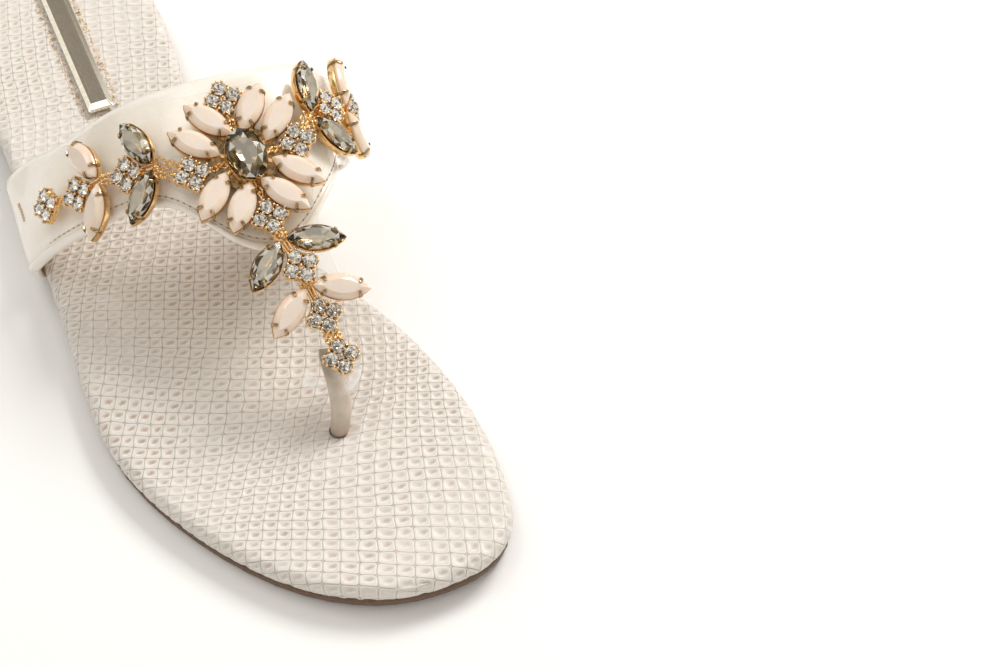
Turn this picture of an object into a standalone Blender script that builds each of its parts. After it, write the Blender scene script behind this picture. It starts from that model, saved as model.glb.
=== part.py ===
"""A flat T-strap thong sandal for the right foot, with a jewelled ornament on its strap.

Frame: metres, +Z up, toe towards -Y, big-toe side towards +X. The origin is the middle of the heel's flat
tread, on the floor. The tables are in millimetres: "along" is the distance from the back of the heel
towards the toe, "x" grows towards the big toe, and "z" is the height over the floor.
"""

import math

import bmesh
import bpy
import numpy as np
from mathutils import Matrix, Vector

MM = 0.001

# ------------------------------------------------------------ driving dimensions, in millimetres
LENGTH = 245.0              # sole length, heel to toe
HEEL_CENTRE = 30.0          # the origin's distance from the back of the heel
GAP = 0.3                   # clearance between pieces that meet

SOLE_THICK = 2.4            # rubber sheet
SOLE_INSET = 1.1            # the rubber's edge lies this far inside the footbed's edge
HEEL_LIFT = 4.0             # how far the heel stands above the forefoot
HEEL_BREAST = 58.0          # front of the heel lift
BREAST_RUN = 3.0            # slope of its front face
SHANK_START = 46.0          # where the sole starts down towards the forefoot
WAIST_END = 152.0           # where the sole meets the floor again
SPRING_START = 200.0        # where the toe starts to rise
TOE_SPRING = 1.8

FOOTBED_THICK = 5.6
FOOTBED_DISH = 0.5          # how far the footbed's middle lies under its rim
SIDE_STATIONS = 40          # outline points along each side of the sole
RIM_STEPS = 5               # facets round the footbed's edge
CROSS_CELLS = 4             # facets across the footbed's face

# Footbed outline, a row for each station.
OUTLINE = (
    # along, lateral x, medial x
    (3.5, -13.5, 12.8),
    (12.0, -22.2, 21.6),
    (25.0, -27.4, 27.3),
    (44.0, -28.9, 28.1),
    (68.0, -28.6, 25.3),
    (93.0, -30.0, 23.8),
    (118.0, -32.2, 26.2),
    (142.0, -34.7, 33.9),
    (162.0, -36.4, 42.4),
    (179.0, -35.3, 47.5),
    (196.0, -30.0, 50.2),
    (213.0, -21.4, 50.2),
    (228.0, -10.4, 47.8),
    (237.5, 0.6, 44.0),
    (243.0, 12.0, 37.0),
)
HEEL_POINT = (0.0, -0.4)    # along, x
TOE_POINT = (LENGTH, 25.5)

# Strap over the instep, a row for each section of its free run, lateral side first.
STRAP = (
    # rear x, along, z,          front x, along, z
    (-26.0, 83.0, 16.0,          -34.6, 114.4, 12.0),
    (-20.6, 88.4, 23.6,          -29.6, 116.8, 18.6),
    (-13.6, 94.6, 33.0,          -21.4, 121.4, 27.2),
    (-5.0, 100.2, 43.0,          -9.4, 127.6, 36.4),
    (1.6, 102.8, 47.4,           -2.0, 133.0, 40.4),      # inner corner of the front edge
    (8.0, 105.2, 50.2,           4.6, 143.2, 41.6),
    (14.4, 107.4, 52.2,          11.0, 151.4, 39.4),
    (20.6, 109.0, 53.2,          18.6, 155.2, 37.2),      # tip of the tongue
    (27.4, 110.2, 53.4,          26.0, 154.2, 37.6),
    (34.6, 110.9, 52.4,          34.4, 148.2, 39.4),
    (43.6, 111.0, 49.0,          41.2, 140.2, 38.0),
    (49.6, 109.4, 42.6,          44.8, 132.8, 32.8),
    (53.8, 105.0, 33.0,          49.4, 127.8, 25.4),      # bulge over the arch of the foot
    (47.2, 99.6, 21.8,           43.8, 122.4, 16.4),
    (37.4, 96.0, 13.0,           35.6, 119.2, 10.6),
)
LATERAL_TUCK = (82.5, 113.5)  # rear and front of the strap where it passes under the footbed, along
MEDIAL_TUCK = (94.0, 118.0)
TUCK_REACH = 11.0           # how far the ends run in under the footbed
TUCK_THICK = 1.3            # the ends are skived
STRAP_THICK = 2.2
STRAP_CELLS = 54            # facets along the strap
POCKET_CELLS = 8            # of those, how many at each end lie in the footbed's pockets
STRAP_CROSS = 7             # facets across it
STRAP_CROWN = 0.022         # rise of its middle, as a share of its width
ROLL_LIFT = 0.3             # the rolled front edge over the strap's face
ROLL_SHARE = 0.06           # its share of the strap's width
EDGE_ROUND = 0.35           # how far the strap's edges bulge, as a share of its thickness

# Clear T band over the strap and down to the toe post.
CLEAR_THICK = 0.8
CLEAR_GAP = 0.6             # its underside over the strap's face
CLEAR_RUN = (0.17, 0.83)    # ends of the band, as shares of the strap's run
CLEAR_CELLS = 38
CLEAR_CROSS = 5
CLEAR_REAR = 0.10           # rear edge, as a share of the strap's width
CLEAR_FRONT = (0.70, 0.86)  # front edge at the ends and over the tongue
STEM_CELLS = 8              # facets of the band's front edge that run on into the stem
# Stem of the T, a row for each section below the tongue.
STEM = (
    # lateral x, along, z,       medial x, along, z
    (11.6, 159.0, 37.2,          29.8, 160.6, 37.4),
    (14.2, 168.4, 31.6,          30.0, 169.6, 31.6),
    (15.8, 176.6, 26.4,          29.6, 177.4, 26.2),
    (17.0, 183.6, 22.0,          28.0, 184.0, 21.8),
    (19.0, 186.6, 20.4,          25.6, 186.8, 20.3),
)
STEM_CROWN = 0.5

# Toe post, a row for each section from the footbed upwards.
POST = (
    # x, along, z, half width, half depth
    (17.9, 192.4, 3.2, 2.3, 2.3),
    (17.9, 192.4, 8.6, 2.5, 2.35),
    (19.1, 191.4, 13.2, 2.85, 2.2),
    (20.2, 187.4, 16.5, 3.4, 1.5),
    (21.5, 183.0, 19.4, 4.7, 0.9),
    (22.6, 178.9, 22.2, 4.7, 0.7),
)
POST_CELLS = 14
POST_SIDES = 12
POST_BORE = 2.9             # radius of its hole in the footbed

# Metal plate on the heel end of the footbed.
PLATE_REAR = (2.6, 15.0)    # x, along
PLATE_FRONT = (0.3, 70.4)
PLATE_WIDTH = (7.4, 7.2)    # at the rear and front ends
PLATE_THICK = 1.0
PLATE_BEVEL = 0.9

# Ornament: marquise and oval stones, squares of four brilliants, and their metal backs.
MARQUISE = (14.5, 6.8)
OVAL = (14.0, 10.0)
STONE_SIDE = 1.5            # height of a stone's side over its cup
STONE_CROWN = 1.7
TABLE_SHARE = 0.52          # the flat top's share of the stone's size
SQUARE = 7.2
SQUARE_THICK = 1.2
BRILLIANT = 1.7             # radius
BRILLIANT_CROWN = 1.3
BACK_THICK = 1.0            # metal back under the stones
BACK_MARGIN = 0.35
BACK_STEP = 0.02            # each plate of a back is this much thicker than the one before
SPINE_WIDTH = 3.0
OUTLINE_CELLS = 5           # facets along each side of a marquise
# Flower on the top of the strap: place as shares of the strap's run and width.
FLOWER_PLACE = (0.501, 0.53)
FLOWER_REACH = 21.0         # radius of the ground under it
FLOWER_HUB = 18.0           # disc that carries the petals' inner ends
OVAL_RISE = 2.0             # the middle stone stands this much higher than the petals
PETAL_OUT = 13.2            # a petal's middle from the flower's middle
PETAL_APART = 3.75          # half the distance between the two petals of a pair
PETAL_FAN = 4.0             # degrees by which the two petals of a pair spread
PETAL_TILT = 4.0            # degrees by which the pairs lean from the diagonals, across the strap
PETAL_NARROW = 0.96         # the flower is this much narrower along the strap
SQUARE_OUT = (13.5, 17.0, -14.1, -17.0)     # the flower's squares from its middle, along and across in turn
# Chain units, a row for each: a pair is two marquise stones in a V with a square between them.
CHAIN = (
    # name, kind, place, run, width share on the strap or distance to the right of the stem's middle,
    # heading (degrees from the run, towards the rear edge), angle of a pair's stones from that heading
    ("left_smoke", "pair", "strap", 0.377, 0.67, 201.0, 58.0),
    ("left_pink", "pair", "strap", 0.297, 0.68, 185.0, 63.0),
    ("left_end", "square", "strap", 0.197, 0.65, 176.0, 60.0),
    ("right_smoke", "pair", "strap", 0.590, 0.47, -4.0, 60.0),
    ("right_pink", "pair", "strap", 0.665, 0.49, 3.0, 60.0),
    ("right_end", "square", "strap", 0.760, 0.46, 0.0, 60.0),
    ("stem_smoke", "pair", "stem", 0.087, -0.3, 270.0, 60.0),
    ("stem_pink", "pair", "stem", 0.403, -0.5, 270.0, 60.0),
    ("stem_end", "square", "stem", 0.892, 0.0, 270.0, 60.0),
)
PAIR_ROOT = 1.1             # a stone's inner tip from the meeting point of the pair
PAIR_SQUARE = 8.4           # the square's middle from the meeting point
PAIR_TAIL = 1.0             # the back runs on this far behind the meeting point
PAIR_REACH = 14.0           # radius of the ground under a pair

# name: colour, roughness, metallic, alpha
FINISHES = {
    "rubber": ((0.17, 0.11, 0.085), 0.7, 0.0, 1.0),
    "scale_leather": ((0.82, 0.74, 0.66), 0.42, 0.0, 1.0),
    "patent_leather": ((0.86, 0.82, 0.76), 0.2, 0.0, 1.0),
    "post_leather": ((0.80, 0.70, 0.58), 0.4, 0.0, 1.0),
    "clear_vinyl": ((0.95, 0.95, 0.93), 0.08, 0.0, 0.3),
    "gold": ((0.86, 0.60, 0.30), 0.22, 1.0, 1.0),
    "pale_gold": ((0.74, 0.68, 0.55), 0.25, 1.0, 1.0),
    "pink_opal": ((0.93, 0.76, 0.69), 0.25, 0.0, 1.0),
    "smoke_crystal": ((0.30, 0.24, 0.15), 0.05, 0.0, 1.0),
    "crystal": ((0.85, 0.85, 0.84), 0.08, 0.0, 1.0),
}


# ------------------------------------------------------------ numbers to curves and meshes
def point(x, along, z):
    """A place in the tables' millimetres as a place in the model's frame, still in millimetres."""
    return np.array((x, HEEL_CENTRE - along, z), dtype=float)


def smooth_step(value, start, end):
    t = min(max((value - start) / (end - start), 0.0), 1.0)
    return t * t * (3.0 - 2.0 * t)


def spline(knots, shares):
    """Natural cubic curve through rows of numbers, read at shares of its length."""
    knots = np.asarray(knots, dtype=float)
    steps = np.linalg.norm(np.diff(knots, axis=0), axis=1)
    t = np.concatenate(([0.0], np.cumsum(steps)))
    t /= t[-1]
    h = np.diff(t)
    count = len(t)
    system = np.eye(count)
    right = np.zeros_like(knots)
    for i in range(1, count - 1):
        system[i, i - 1:i + 2] = (h[i - 1], 2.0 * (h[i - 1] + h[i]), h[i])
        right[i] = 6.0 * ((knots[i + 1] - knots[i]) / h[i] - (knots[i] - knots[i - 1]) / h[i - 1])
    bend = np.linalg.solve(system, right)
    result = []
    for share in np.atleast_1d(shares):
        i = int(np.clip(np.searchsorted(t, share) - 1, 0, count - 2))
        a = (t[i + 1] - share) / h[i]
        b = 1.0 - a
        result.append(a * knots[i] + b * knots[i + 1]
                      + ((a ** 3 - a) * bend[i] + (b ** 3 - b) * bend[i + 1]) * h[i] ** 2 / 6.0)
    return np.array(result)


def unit(vector):
    return vector / np.linalg.norm(vector)


def make_object(name, vertices, faces, finish, smooth=35.0):
    """A mesh object from millimetre points, with its faces turned outwards."""
    mesh = bpy.data.meshes.new(name)
    mesh.from_pydata([tuple(v * MM) for v in np.asarray(vertices, dtype=float)], [], faces)
    shape = bmesh.new()
    shape.from_mesh(mesh)
    bmesh.ops.remove_doubles(shape, verts=shape.verts, dist=1e-7)
    bmesh.ops.recalc_face_normals(shape, faces=shape.faces)
    shape.to_mesh(mesh)
    shape.free()
    mesh.materials.append(bpy.data.materials[finish])
    if smooth:
        mesh.shade_smooth()
        mesh.set_sharp_from_angle(angle=math.radians(smooth))
    item = bpy.data.objects.new(name, mesh)
    bpy.context.scene.collection.objects.link(item)
    return item


def boolean(item, other, operation):
    """Cuts item with other, or joins other to it; other stays as a hidden guide."""
    step = item.modifiers.new(operation.lower(), "BOOLEAN")
    step.operation = operation
    step.object = other
    step.solver = "EXACT"
    other.hide_render = True
    other.display_type = "WIRE"


def settle(item):
    """Turns an object's modifiers into its own mesh and takes the guides away."""
    graph = bpy.context.evaluated_depsgraph_get()
    mesh = bpy.data.meshes.new_from_object(item.evaluated_get(graph))
    guides = [step.object for step in item.modifiers if step.type == "BOOLEAN"]
    item.modifiers.clear()
    item.data = mesh
    for guide in guides:
        bpy.data.objects.remove(guide)


def grid_faces(rows, columns, start=0, closed=False):
    """Quads between rows of points; closed joins the last column to the first."""
    faces = []
    for r in range(rows - 1):
        for c in range(columns if closed else columns - 1):
            d = (c + 1) % columns
            a = start + r * columns
            faces.append((a + c, a + d, a + columns + d, a + columns + c))
    return faces


# ------------------------------------------------------------ sole
def sheet_lift(along):
    """Height of the rubber sheet's underside: heel lift, waist and toe spring."""
    lift = HEEL_LIFT * (1.0 - smooth_step(along, SHANK_START, WAIST_END))
    rise = max(along - SPRING_START, 0.0) / (LENGTH - SPRING_START)
    return lift + TOE_SPRING * rise * rise


def tread_height(along):
    """Height of the sole's underside, with the heel lift standing on the floor."""
    return sheet_lift(along) * min(max((along - HEEL_BREAST) / BREAST_RUN, 0.0), 1.0)


def board_height(along):
    """Height of the footbed's underside."""
    return sheet_lift(along) + SOLE_THICK + GAP


def side_curves():
    """The outline's lateral and medial halves, each from the heel point to the toe point."""
    lateral = [(along, x) for along, x, _ in OUTLINE]
    medial = [(along, x) for along, _, x in OUTLINE]
    loop = [HEEL_POINT] + lateral + [TOE_POINT] + medial[::-1]
    wrap = 4
    knots = np.array(loop[-wrap:] + loop + loop[:wrap + 1])
    steps = np.linalg.norm(np.diff(knots, axis=0), axis=1)
    t = np.concatenate(([0.0], np.cumsum(steps))) / steps.sum()
    heel, toe, back = t[wrap], t[wrap + len(lateral) + 1], t[wrap + len(loop)]
    # Stations crowd towards the two ends, where the outline turns.
    turn = 0.5 - 0.5 * np.cos(np.linspace(0.0, math.pi, SIDE_STATIONS + 1))
    even = np.linspace(0.0, 1.0, SIDE_STATIONS + 1)
    share = 0.65 * turn + 0.35 * even
    return spline(knots, heel + (toe - heel) * share), spline(knots, back - (back - toe) * share)


LATERAL, MEDIAL = side_curves()


def edge_x(along, side):
    """x of the footbed's edge: side -1 is lateral, +1 is medial."""
    curve = LATERAL if side < 0 else MEDIAL
    return float(np.interp(along, curve[:, 0], curve[:, 1]))


def inset_ring(inset):
    """The outline moved inwards, as one closed ring of (along, x)."""
    ring = np.concatenate((LATERAL, MEDIAL[-2:0:-1]))
    tangent = np.roll(ring, -1, axis=0) - np.roll(ring, 1, axis=0)
    tangent /= np.linalg.norm(tangent, axis=1)[:, None]
    inward = np.stack((-tangent[:, 1], tangent[:, 0]), axis=1)
    return ring + inward * inset


def plan_solid(name, finish, rings, dish=0.0):
    """A sole-shaped solid from rings of (inset, height function), lowest ring first.

    The first and last rings are closed by faces that follow the same height functions; dish lowers the
    middle of the upper one.
    """
    vertices = []
    faces = []
    count = 2 * SIDE_STATIONS
    for inset, height in rings:
        vertices += [point(x, along, height(along)) for along, x in inset_ring(inset)]
    faces += grid_faces(len(rings), count, closed=True)

    def cap(first, height, depth):
        previous = None
        for i in range(1, SIDE_STATIONS):
            left, right = vertices[first + i], vertices[first + count - i]
            row = [first + i]
            for k in range(1, CROSS_CELLS):
                share = k / CROSS_CELLS
                middle = left + (right - left) * share
                bowl = 4.0 * share * (1.0 - share)
                middle[2] = height(HEEL_CENTRE - middle[1]) - depth * bowl
                vertices.append(middle)
                row.append(len(vertices) - 1)
            row.append(first + count - i)
            if previous is None:
                faces.extend((first, row[k], row[k + 1]) for k in range(CROSS_CELLS))
            else:
                faces.extend((previous[k], previous[k + 1], row[k + 1], row[k]) for k in range(CROSS_CELLS))
            previous = row
        tip = first + SIDE_STATIONS
        faces.extend((previous[k], previous[k + 1], tip) for k in range(CROSS_CELLS))

    cap(0, rings[0][1], 0.0)
    cap((len(rings) - 1) * count, rings[-1][1], dish)
    return make_object(name, vertices, faces, finish, smooth=50.0)


def make_outsole():
    edge = 0.5
    rings = (
        (SOLE_INSET + edge, tread_height),
        (SOLE_INSET, lambda along: tread_height(along) + edge),
        (SOLE_INSET, lambda along: sheet_lift(along) + SOLE_THICK - edge),
        (SOLE_INSET + edge, lambda along: sheet_lift(along) + SOLE_THICK),
    )
    return plan_solid("outsole", "rubber", rings)


def make_footbed():
    radius = FOOTBED_THICK / 2.0
    rings = []
    for k in range(RIM_STEPS + 1):
        turn = -math.pi / 2.0 + math.pi * k / RIM_STEPS
        inset = radius * (1.0 - math.cos(turn))
        rise = radius * (1.0 + math.sin(turn))
        rings.append((inset, lambda along, rise=rise: board_height(along) + rise))
    item = plan_solid("footbed", "scale_leather", rings, dish=FOOTBED_DISH)
    pocket = POCKET_CELLS / STRAP_CELLS
    for run in ((0.0, pocket), (1.0 - pocket, 1.0)):
        boolean(item, strap_sheet("tuck_pocket", run, POCKET_CELLS, grow=GAP), "DIFFERENCE")
    bore = bpy.data.meshes.new("post_bore")
    shape = bmesh.new()
    x, along = POST[0][:2]
    bmesh.ops.create_cone(shape, segments=POST_SIDES, radius1=POST_BORE * MM, radius2=POST_BORE * MM,
                          depth=4.0 * FOOTBED_THICK * MM, cap_ends=True,
                          matrix=Matrix.Translation(Vector(point(x, along, FOOTBED_THICK) * MM)))
    shape.to_mesh(bore)
    shape.free()
    cutter = bpy.data.objects.new("post_bore", bore)
    bpy.context.scene.collection.objects.link(cutter)
    boolean(item, cutter, "DIFFERENCE")
    settle(item)
    return item


# ------------------------------------------------------------ strap
def tuck_rows(span, side):
    """Sections of a strap end, from under the footbed to the wall outside its edge."""
    radius = FOOTBED_THICK / 2.0
    outside = STRAP_THICK + 2.0 * GAP
    rows = []
    # out: how far beyond the footbed's edge the outer face lies; up: its height over the board.
    for out, up in ((-TUCK_REACH, 0.0), (-TUCK_REACH / 2.0, 0.0), (-radius, 0.0),
                    (0.5 * outside, 0.3 * radius), (outside, 1.4 * radius)):
        row = []
        for along in span:
            row += [edge_x(along, side) + side * out, along, board_height(along) + up]
        rows.append(row)
    return rows


def strap_knots():
    rows = tuck_rows(LATERAL_TUCK, -1) + [list(row) for row in STRAP] + tuck_rows(MEDIAL_TUCK, 1)[::-1]
    return np.array([np.concatenate((point(*row[:3]), point(*row[3:]))) for row in rows])


KNOTS = strap_knots()


def strap_edges(run):
    rear_front = spline(KNOTS, run)[0]
    return rear_front[:3], rear_front[3:]


def strap_face(run, across):
    """The strap's outer face, without its rolled edge: run and across go from 0 to 1."""
    rear, front = strap_edges(run)
    chord = front - rear
    ahead, behind = spline(KNOTS, min(run + 0.01, 1.0))[0], spline(KNOTS, max(run - 0.01, 0.0))[0]
    outward = unit(np.cross(chord, (ahead + np.roll(ahead, 3) - behind - np.roll(behind, 3))[:3]))
    bow = 4.0 * across * (1.0 - across)
    free = smooth_step(run, 0.10, 0.2) * smooth_step(1.0 - run, 0.10, 0.2)
    return rear + chord * across + outward * bow * free * STRAP_CROWN * np.linalg.norm(chord)


def strap_normal(run, across):
    """Unit vector out of the strap's face."""
    d = 0.004
    along = strap_face(min(run + d, 1.0), across) - strap_face(max(run - d, 0.0), across)
    wide = strap_face(run, min(across + d, 1.0)) - strap_face(run, max(across - d, 0.0))
    return unit(np.cross(wide, along))


def strap_thickness(run):
    """Full over the foot, skived under the footbed."""
    free = smooth_step(run, 0.06, 0.13) * smooth_step(1.0 - run, 0.06, 0.13)
    return TUCK_THICK + (STRAP_THICK - TUCK_THICK) * free


def strap_sheet(name, run, cells, grow=0.0):
    """The strap as a solid wall between two shares of its run, or that wall grown on every side."""
    columns = [k / STRAP_CROSS for k in range(STRAP_CROSS + 1)]
    if not grow:
        columns.insert(-1, 1.0 - ROLL_SHARE)
    profile = len(columns) * 2 + 2
    vertices = []
    shares = np.linspace(*run, cells + 1)
    for number, share in enumerate(shares):
        free = smooth_step(share, 0.10, 0.16) * smooth_step(1.0 - share, 0.10, 0.16)
        rear, front = strap_edges(share)
        side = unit(front - rear)
        heading = unit(np.cross(side, strap_normal(share, 0.5)))
        overrun = np.zeros(3)
        if share == 0.0:
            overrun = heading * grow
        if share == 1.0:
            overrun = -heading * grow
        outer, inner = [], []
        for across in columns:
            normal = strap_normal(share, across)
            place = strap_face(share, across) + overrun
            if across == columns[0]:
                place = place - side * grow
            if across == columns[-1]:
                place = place + side * grow
            roll = ROLL_LIFT * free if across > 1.0 - 1.5 * ROLL_SHARE and not grow else 0.0
            outer.append(place + normal * (grow + roll))
            inner.append(place - normal * (strap_thickness(share) + grow))
        bulge = 0.0 if grow else EDGE_ROUND * strap_thickness(share) * free
        front_mid = 0.5 * (outer[-1] + inner[-1]) + side * bulge
        rear_mid = 0.5 * (outer[0] + inner[0]) - side * bulge
        vertices += outer + [front_mid] + inner[::-1] + [rear_mid]
    faces = grid_faces(cells + 1, profile, closed=True)
    faces.append(tuple(range(profile)))
    faces.append(tuple(cells * profile + k for k in range(profile)))
    return make_object(name, vertices, faces, "patent_leather", smooth=50.0)


# ------------------------------------------------------------ clear T band
def clear_front(run):
    """Share of the strap's width where the clear band's front edge lies."""
    middle = 0.5 * (CLEAR_RUN[0] + CLEAR_RUN[1])
    swell = 1.0 - smooth_step(abs(run - FLOWER_PLACE[0]), 0.06, middle - CLEAR_RUN[0] - 0.06)
    return CLEAR_FRONT[0] + (CLEAR_FRONT[1] - CLEAR_FRONT[0]) * swell


def clear_surface():
    """Points of the clear band's underside: the band's rows, then the stem's."""
    shares = np.linspace(*CLEAR_RUN, CLEAR_CELLS + 1)
    round_end = 0.03
    band = []
    for share in shares:
        inset = min(share - CLEAR_RUN[0], CLEAR_RUN[1] - share)
        pinch = 0.12 * (1.0 - math.sqrt(min(inset / round_end, 1.0)))
        rear, front = CLEAR_REAR + pinch, clear_front(share) - pinch
        row = []
        for k in range(CLEAR_CROSS + 1):
            across = rear + (front - rear) * k / CLEAR_CROSS
            row.append(strap_face(share, across) + strap_normal(share, across) * CLEAR_GAP)
        band.append(row)
    first = int(np.argmin(abs(shares - FLOWER_PLACE[0]))) - STEM_CELLS // 2
    top = [band[first + k][-1] for k in range(STEM_CELLS + 1)]
    knots = [np.concatenate((top[0], top[-1]))]
    knots += [np.concatenate((point(*row[:3]), point(*row[3:]))) for row in STEM]
    stem = []
    for share in np.linspace(0.0, 1.0, 11)[1:]:
        both = spline(knots, share)[0]
        left, right = both[:3], both[3:]
        settle_in = smooth_step(share, 0.0, 0.35)
        row = []
        for k in range(STEM_CELLS + 1):
            c = k / STEM_CELLS
            straight = left + (right - left) * c
            bowed = top[k] - (top[0] + (top[-1] - top[0]) * c)
            row.append(straight + bowed * (1.0 - settle_in)
                       + np.array((0.0, 0.0, 4.0 * STEM_CROWN * c * (1.0 - c) * settle_in)))
        stem.append(row)
    return band, first, stem


BAND, STEM_FIRST, STEM_ROWS = clear_surface()


def make_clear_band():
    vertices = [place for row in BAND for place in row]
    columns = CLEAR_CROSS + 1
    faces = grid_faces(len(BAND), columns)
    above = [(STEM_FIRST + k) * columns + CLEAR_CROSS for k in range(STEM_CELLS + 1)]
    for row in STEM_ROWS:
        below = list(range(len(vertices), len(vertices) + STEM_CELLS + 1))
        vertices += row
        faces += [(above[k], below[k], below[k + 1], above[k + 1]) for k in range(STEM_CELLS)]
        above = below
    item = make_object("clear_band", vertices, faces, "clear_vinyl", smooth=50.0)
    middle = item.data.polygons[CLEAR_CROSS * (CLEAR_CELLS // 2)]
    if middle.normal.z < 0.0:
        item.data.flip_normals()
    wall = item.modifiers.new("wall", "SOLIDIFY")
    wall.thickness = CLEAR_THICK * MM
    wall.offset = 1.0
    wall.use_even_offset = False
    settle(item)
    return item


# ------------------------------------------------------------ toe post and plate
def make_post():
    knots = [np.concatenate((point(*row[:3]), row[3:])) for row in POST]
    rows = spline(knots, np.linspace(0.0, 1.0, POST_CELLS + 1))
    vertices = []
    for i, row in enumerate(rows):
        ahead = rows[min(i + 1, POST_CELLS)][:3] - rows[max(i - 1, 0)][:3]
        direction = unit(ahead)
        wide = unit(np.cross(direction, (0.0, 1.0, 0.25)) if i else np.array((-1.0, 0.0, 0.0)))
        if wide[0] > 0.0:
            wide = -wide
        deep = unit(np.cross(direction, wide))
        for k in range(POST_SIDES):
            turn = 2.0 * math.pi * k / POST_SIDES
            vertices.append(row[:3] + wide * row[3] * math.cos(turn) + deep * row[4] * math.sin(turn))
    faces = grid_faces(POST_CELLS + 1, POST_SIDES, closed=True)
    faces.append(tuple(range(POST_SIDES)))
    faces.append(tuple(POST_CELLS * POST_SIDES + k for k in range(POST_SIDES)))
    return make_object("toe_post", vertices, faces, "post_leather", smooth=60.0)


def make_plate():
    rear, front = np.array(PLATE_REAR), np.array(PLATE_FRONT)
    run = unit(front - rear)
    side = np.array((run[1], -run[0]))
    base = max(board_height(rear[1]), board_height(front[1])) + FOOTBED_THICK - 0.3 * FOOTBED_DISH
    vertices = []
    for bevel, z in ((0.0, 0.0), (0.0, PLATE_THICK - 0.5 * PLATE_BEVEL), (PLATE_BEVEL, PLATE_THICK)):
        for end, way, width in ((rear, 1.0, PLATE_WIDTH[0]), (front, -1.0, PLATE_WIDTH[1])):
            for hand in (way, -way):
                place = end + run * way * bevel + side * hand * (width / 2.0 - bevel)
                vertices.append(point(place[0], place[1], base + GAP + z))
    faces = grid_faces(3, 4, closed=True) + [(0, 1, 2, 3), (8, 9, 10, 11)]
    return make_object("name_plate", vertices, faces, "pale_gold", smooth=0.0)


# ------------------------------------------------------------ ornament
def marquise_outline(length, width):
    """A pointed oval of two arcs, its long axis along Y."""
    half, rise = length / 2.0, width / 2.0
    radius = (half * half + rise * rise) / (2.0 * rise)
    sweep = math.asin(half / radius)
    ring = []
    for side in (1.0, -1.0):
        for k in range(OUTLINE_CELLS):
            turn = sweep * (1.0 - 2.0 * k / OUTLINE_CELLS)
            ring.append((side * (radius * math.cos(turn) - radius + rise), side * radius * math.sin(turn)))
    return ring[::-1]


def oval_outline(length, width):
    count = 2 * OUTLINE_CELLS + 2
    turns = [2.0 * math.pi * k / count for k in range(count)]
    return [(width / 2.0 * math.cos(t), length / 2.0 * math.sin(t)) for t in turns]


def square_outline(size):
    """A square standing on its corner."""
    reach = size / math.sqrt(2.0)
    return [(reach, 0.0), (0.0, reach), (-reach, 0.0), (0.0, -reach)]


def bar_outline(width, start, end):
    half = width / 2.0
    return [(half, start), (half, end), (-half, end), (-half, start)]


def moved(ring, x=0.0, y=0.0, turn=0.0):
    """An outline turned by degrees, then moved."""
    c, s = math.cos(math.radians(turn)), math.sin(math.radians(turn))
    return [(x + c * px - s * py, y + s * px + c * py) for px, py in ring]


def grown(ring, margin):
    """An outline made larger about its middle by a margin."""
    middle = np.mean(ring, axis=0)
    return [tuple(middle + (np.array(p) - middle) * (1.0 + margin / np.linalg.norm(np.array(p) - middle)))
            for p in ring]


def layers(name, finish, levels, matrix, smooth=0.0):
    """A closed solid from rings at rising heights, placed by a matrix in millimetres."""
    count = len(levels[0][0])
    vertices = []
    for ring, z in levels:
        vertices += [np.array(matrix @ Vector((x, y, z))) for x, y in ring]
    faces = grid_faces(len(levels), count, closed=True)
    faces.append(tuple(range(count)))
    faces.append(tuple((len(levels) - 1) * count + k for k in range(count)))
    return make_object(name, vertices, faces, finish, smooth=smooth)


def make_stone(name, finish, ring, base, matrix):
    """A cut stone: upright side, sloping crown and flat top."""
    middle = np.mean(ring, axis=0)
    table = [tuple(middle + (np.array(p) - middle) * TABLE_SHARE) for p in ring]
    levels = ((ring, base), (ring, base + STONE_SIDE), (table, base + STONE_SIDE + STONE_CROWN))
    return layers(name, finish, levels, matrix)


def make_square(name, x, y, base, matrix):
    """Four brilliants in one square setting."""
    item = layers(name, "crystal", ((moved(square_outline(SQUARE), x, y), base),
                                    (moved(square_outline(SQUARE), x, y), base + SQUARE_THICK)), matrix)
    pitch = SQUARE / (2.0 * math.sqrt(2.0))
    for k in range(4):
        turn = math.radians(90.0 * k)
        cx, cy = x + pitch * math.cos(turn), y + pitch * math.sin(turn)
        rings = []
        for radius, z in ((BRILLIANT, 0.5 * SQUARE_THICK), (BRILLIANT, SQUARE_THICK + 0.2),
                          (0.5 * BRILLIANT, SQUARE_THICK + BRILLIANT_CROWN)):
            ring = [(cx + radius * math.cos(math.pi * (j + 0.5) / 3.0),
                     cy + radius * math.sin(math.pi * (j + 0.5) / 3.0)) for j in range(6)]
            rings.append((ring, base + z))
        boolean(item, layers(name + "_brilliant", "crystal", rings, matrix), "UNION")
    settle(item)
    return item


def make_back(name, plates, matrix):
    """Metal back under the stones, one piece of overlapping plates: a row is (outline, thickness)."""
    pieces = []
    for number, (ring, thick) in enumerate(plates):
        top = thick + BACK_STEP * number
        pieces.append(layers(name if not number else name + "_plate", "gold",
                             ((ring, -BACK_STEP * number), (ring, top)), matrix))
    for piece in pieces[1:]:
        boolean(pieces[0], piece, "UNION")
    settle(pieces[0])
    return pieces[0]


def strap_length():
    places = [strap_face(share, 0.5) for share in np.linspace(0.0, 1.0, 60)]
    return sum(np.linalg.norm(b - a) for a, b in zip(places, places[1:]))


def strap_frame(run, across, heading, reach):
    """Place, normal and heading on the strap, with the normal taken at half of a reach ahead."""
    rear, front = strap_edges(run)
    width = np.linalg.norm(front - rear)
    turn = math.radians(heading)
    ahead_run = run + 0.5 * reach * math.cos(turn) / strap_length()
    ahead_across = min(across - 0.5 * reach * math.sin(turn) / width, 1.0)
    place = strap_face(run, across)
    step = 0.01
    along = unit(strap_face(run + step, across) - strap_face(run - step, across))
    back = unit(rear - front)
    return place, strap_normal(ahead_run, ahead_across), along * math.cos(turn) + back * math.sin(turn)


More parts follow.
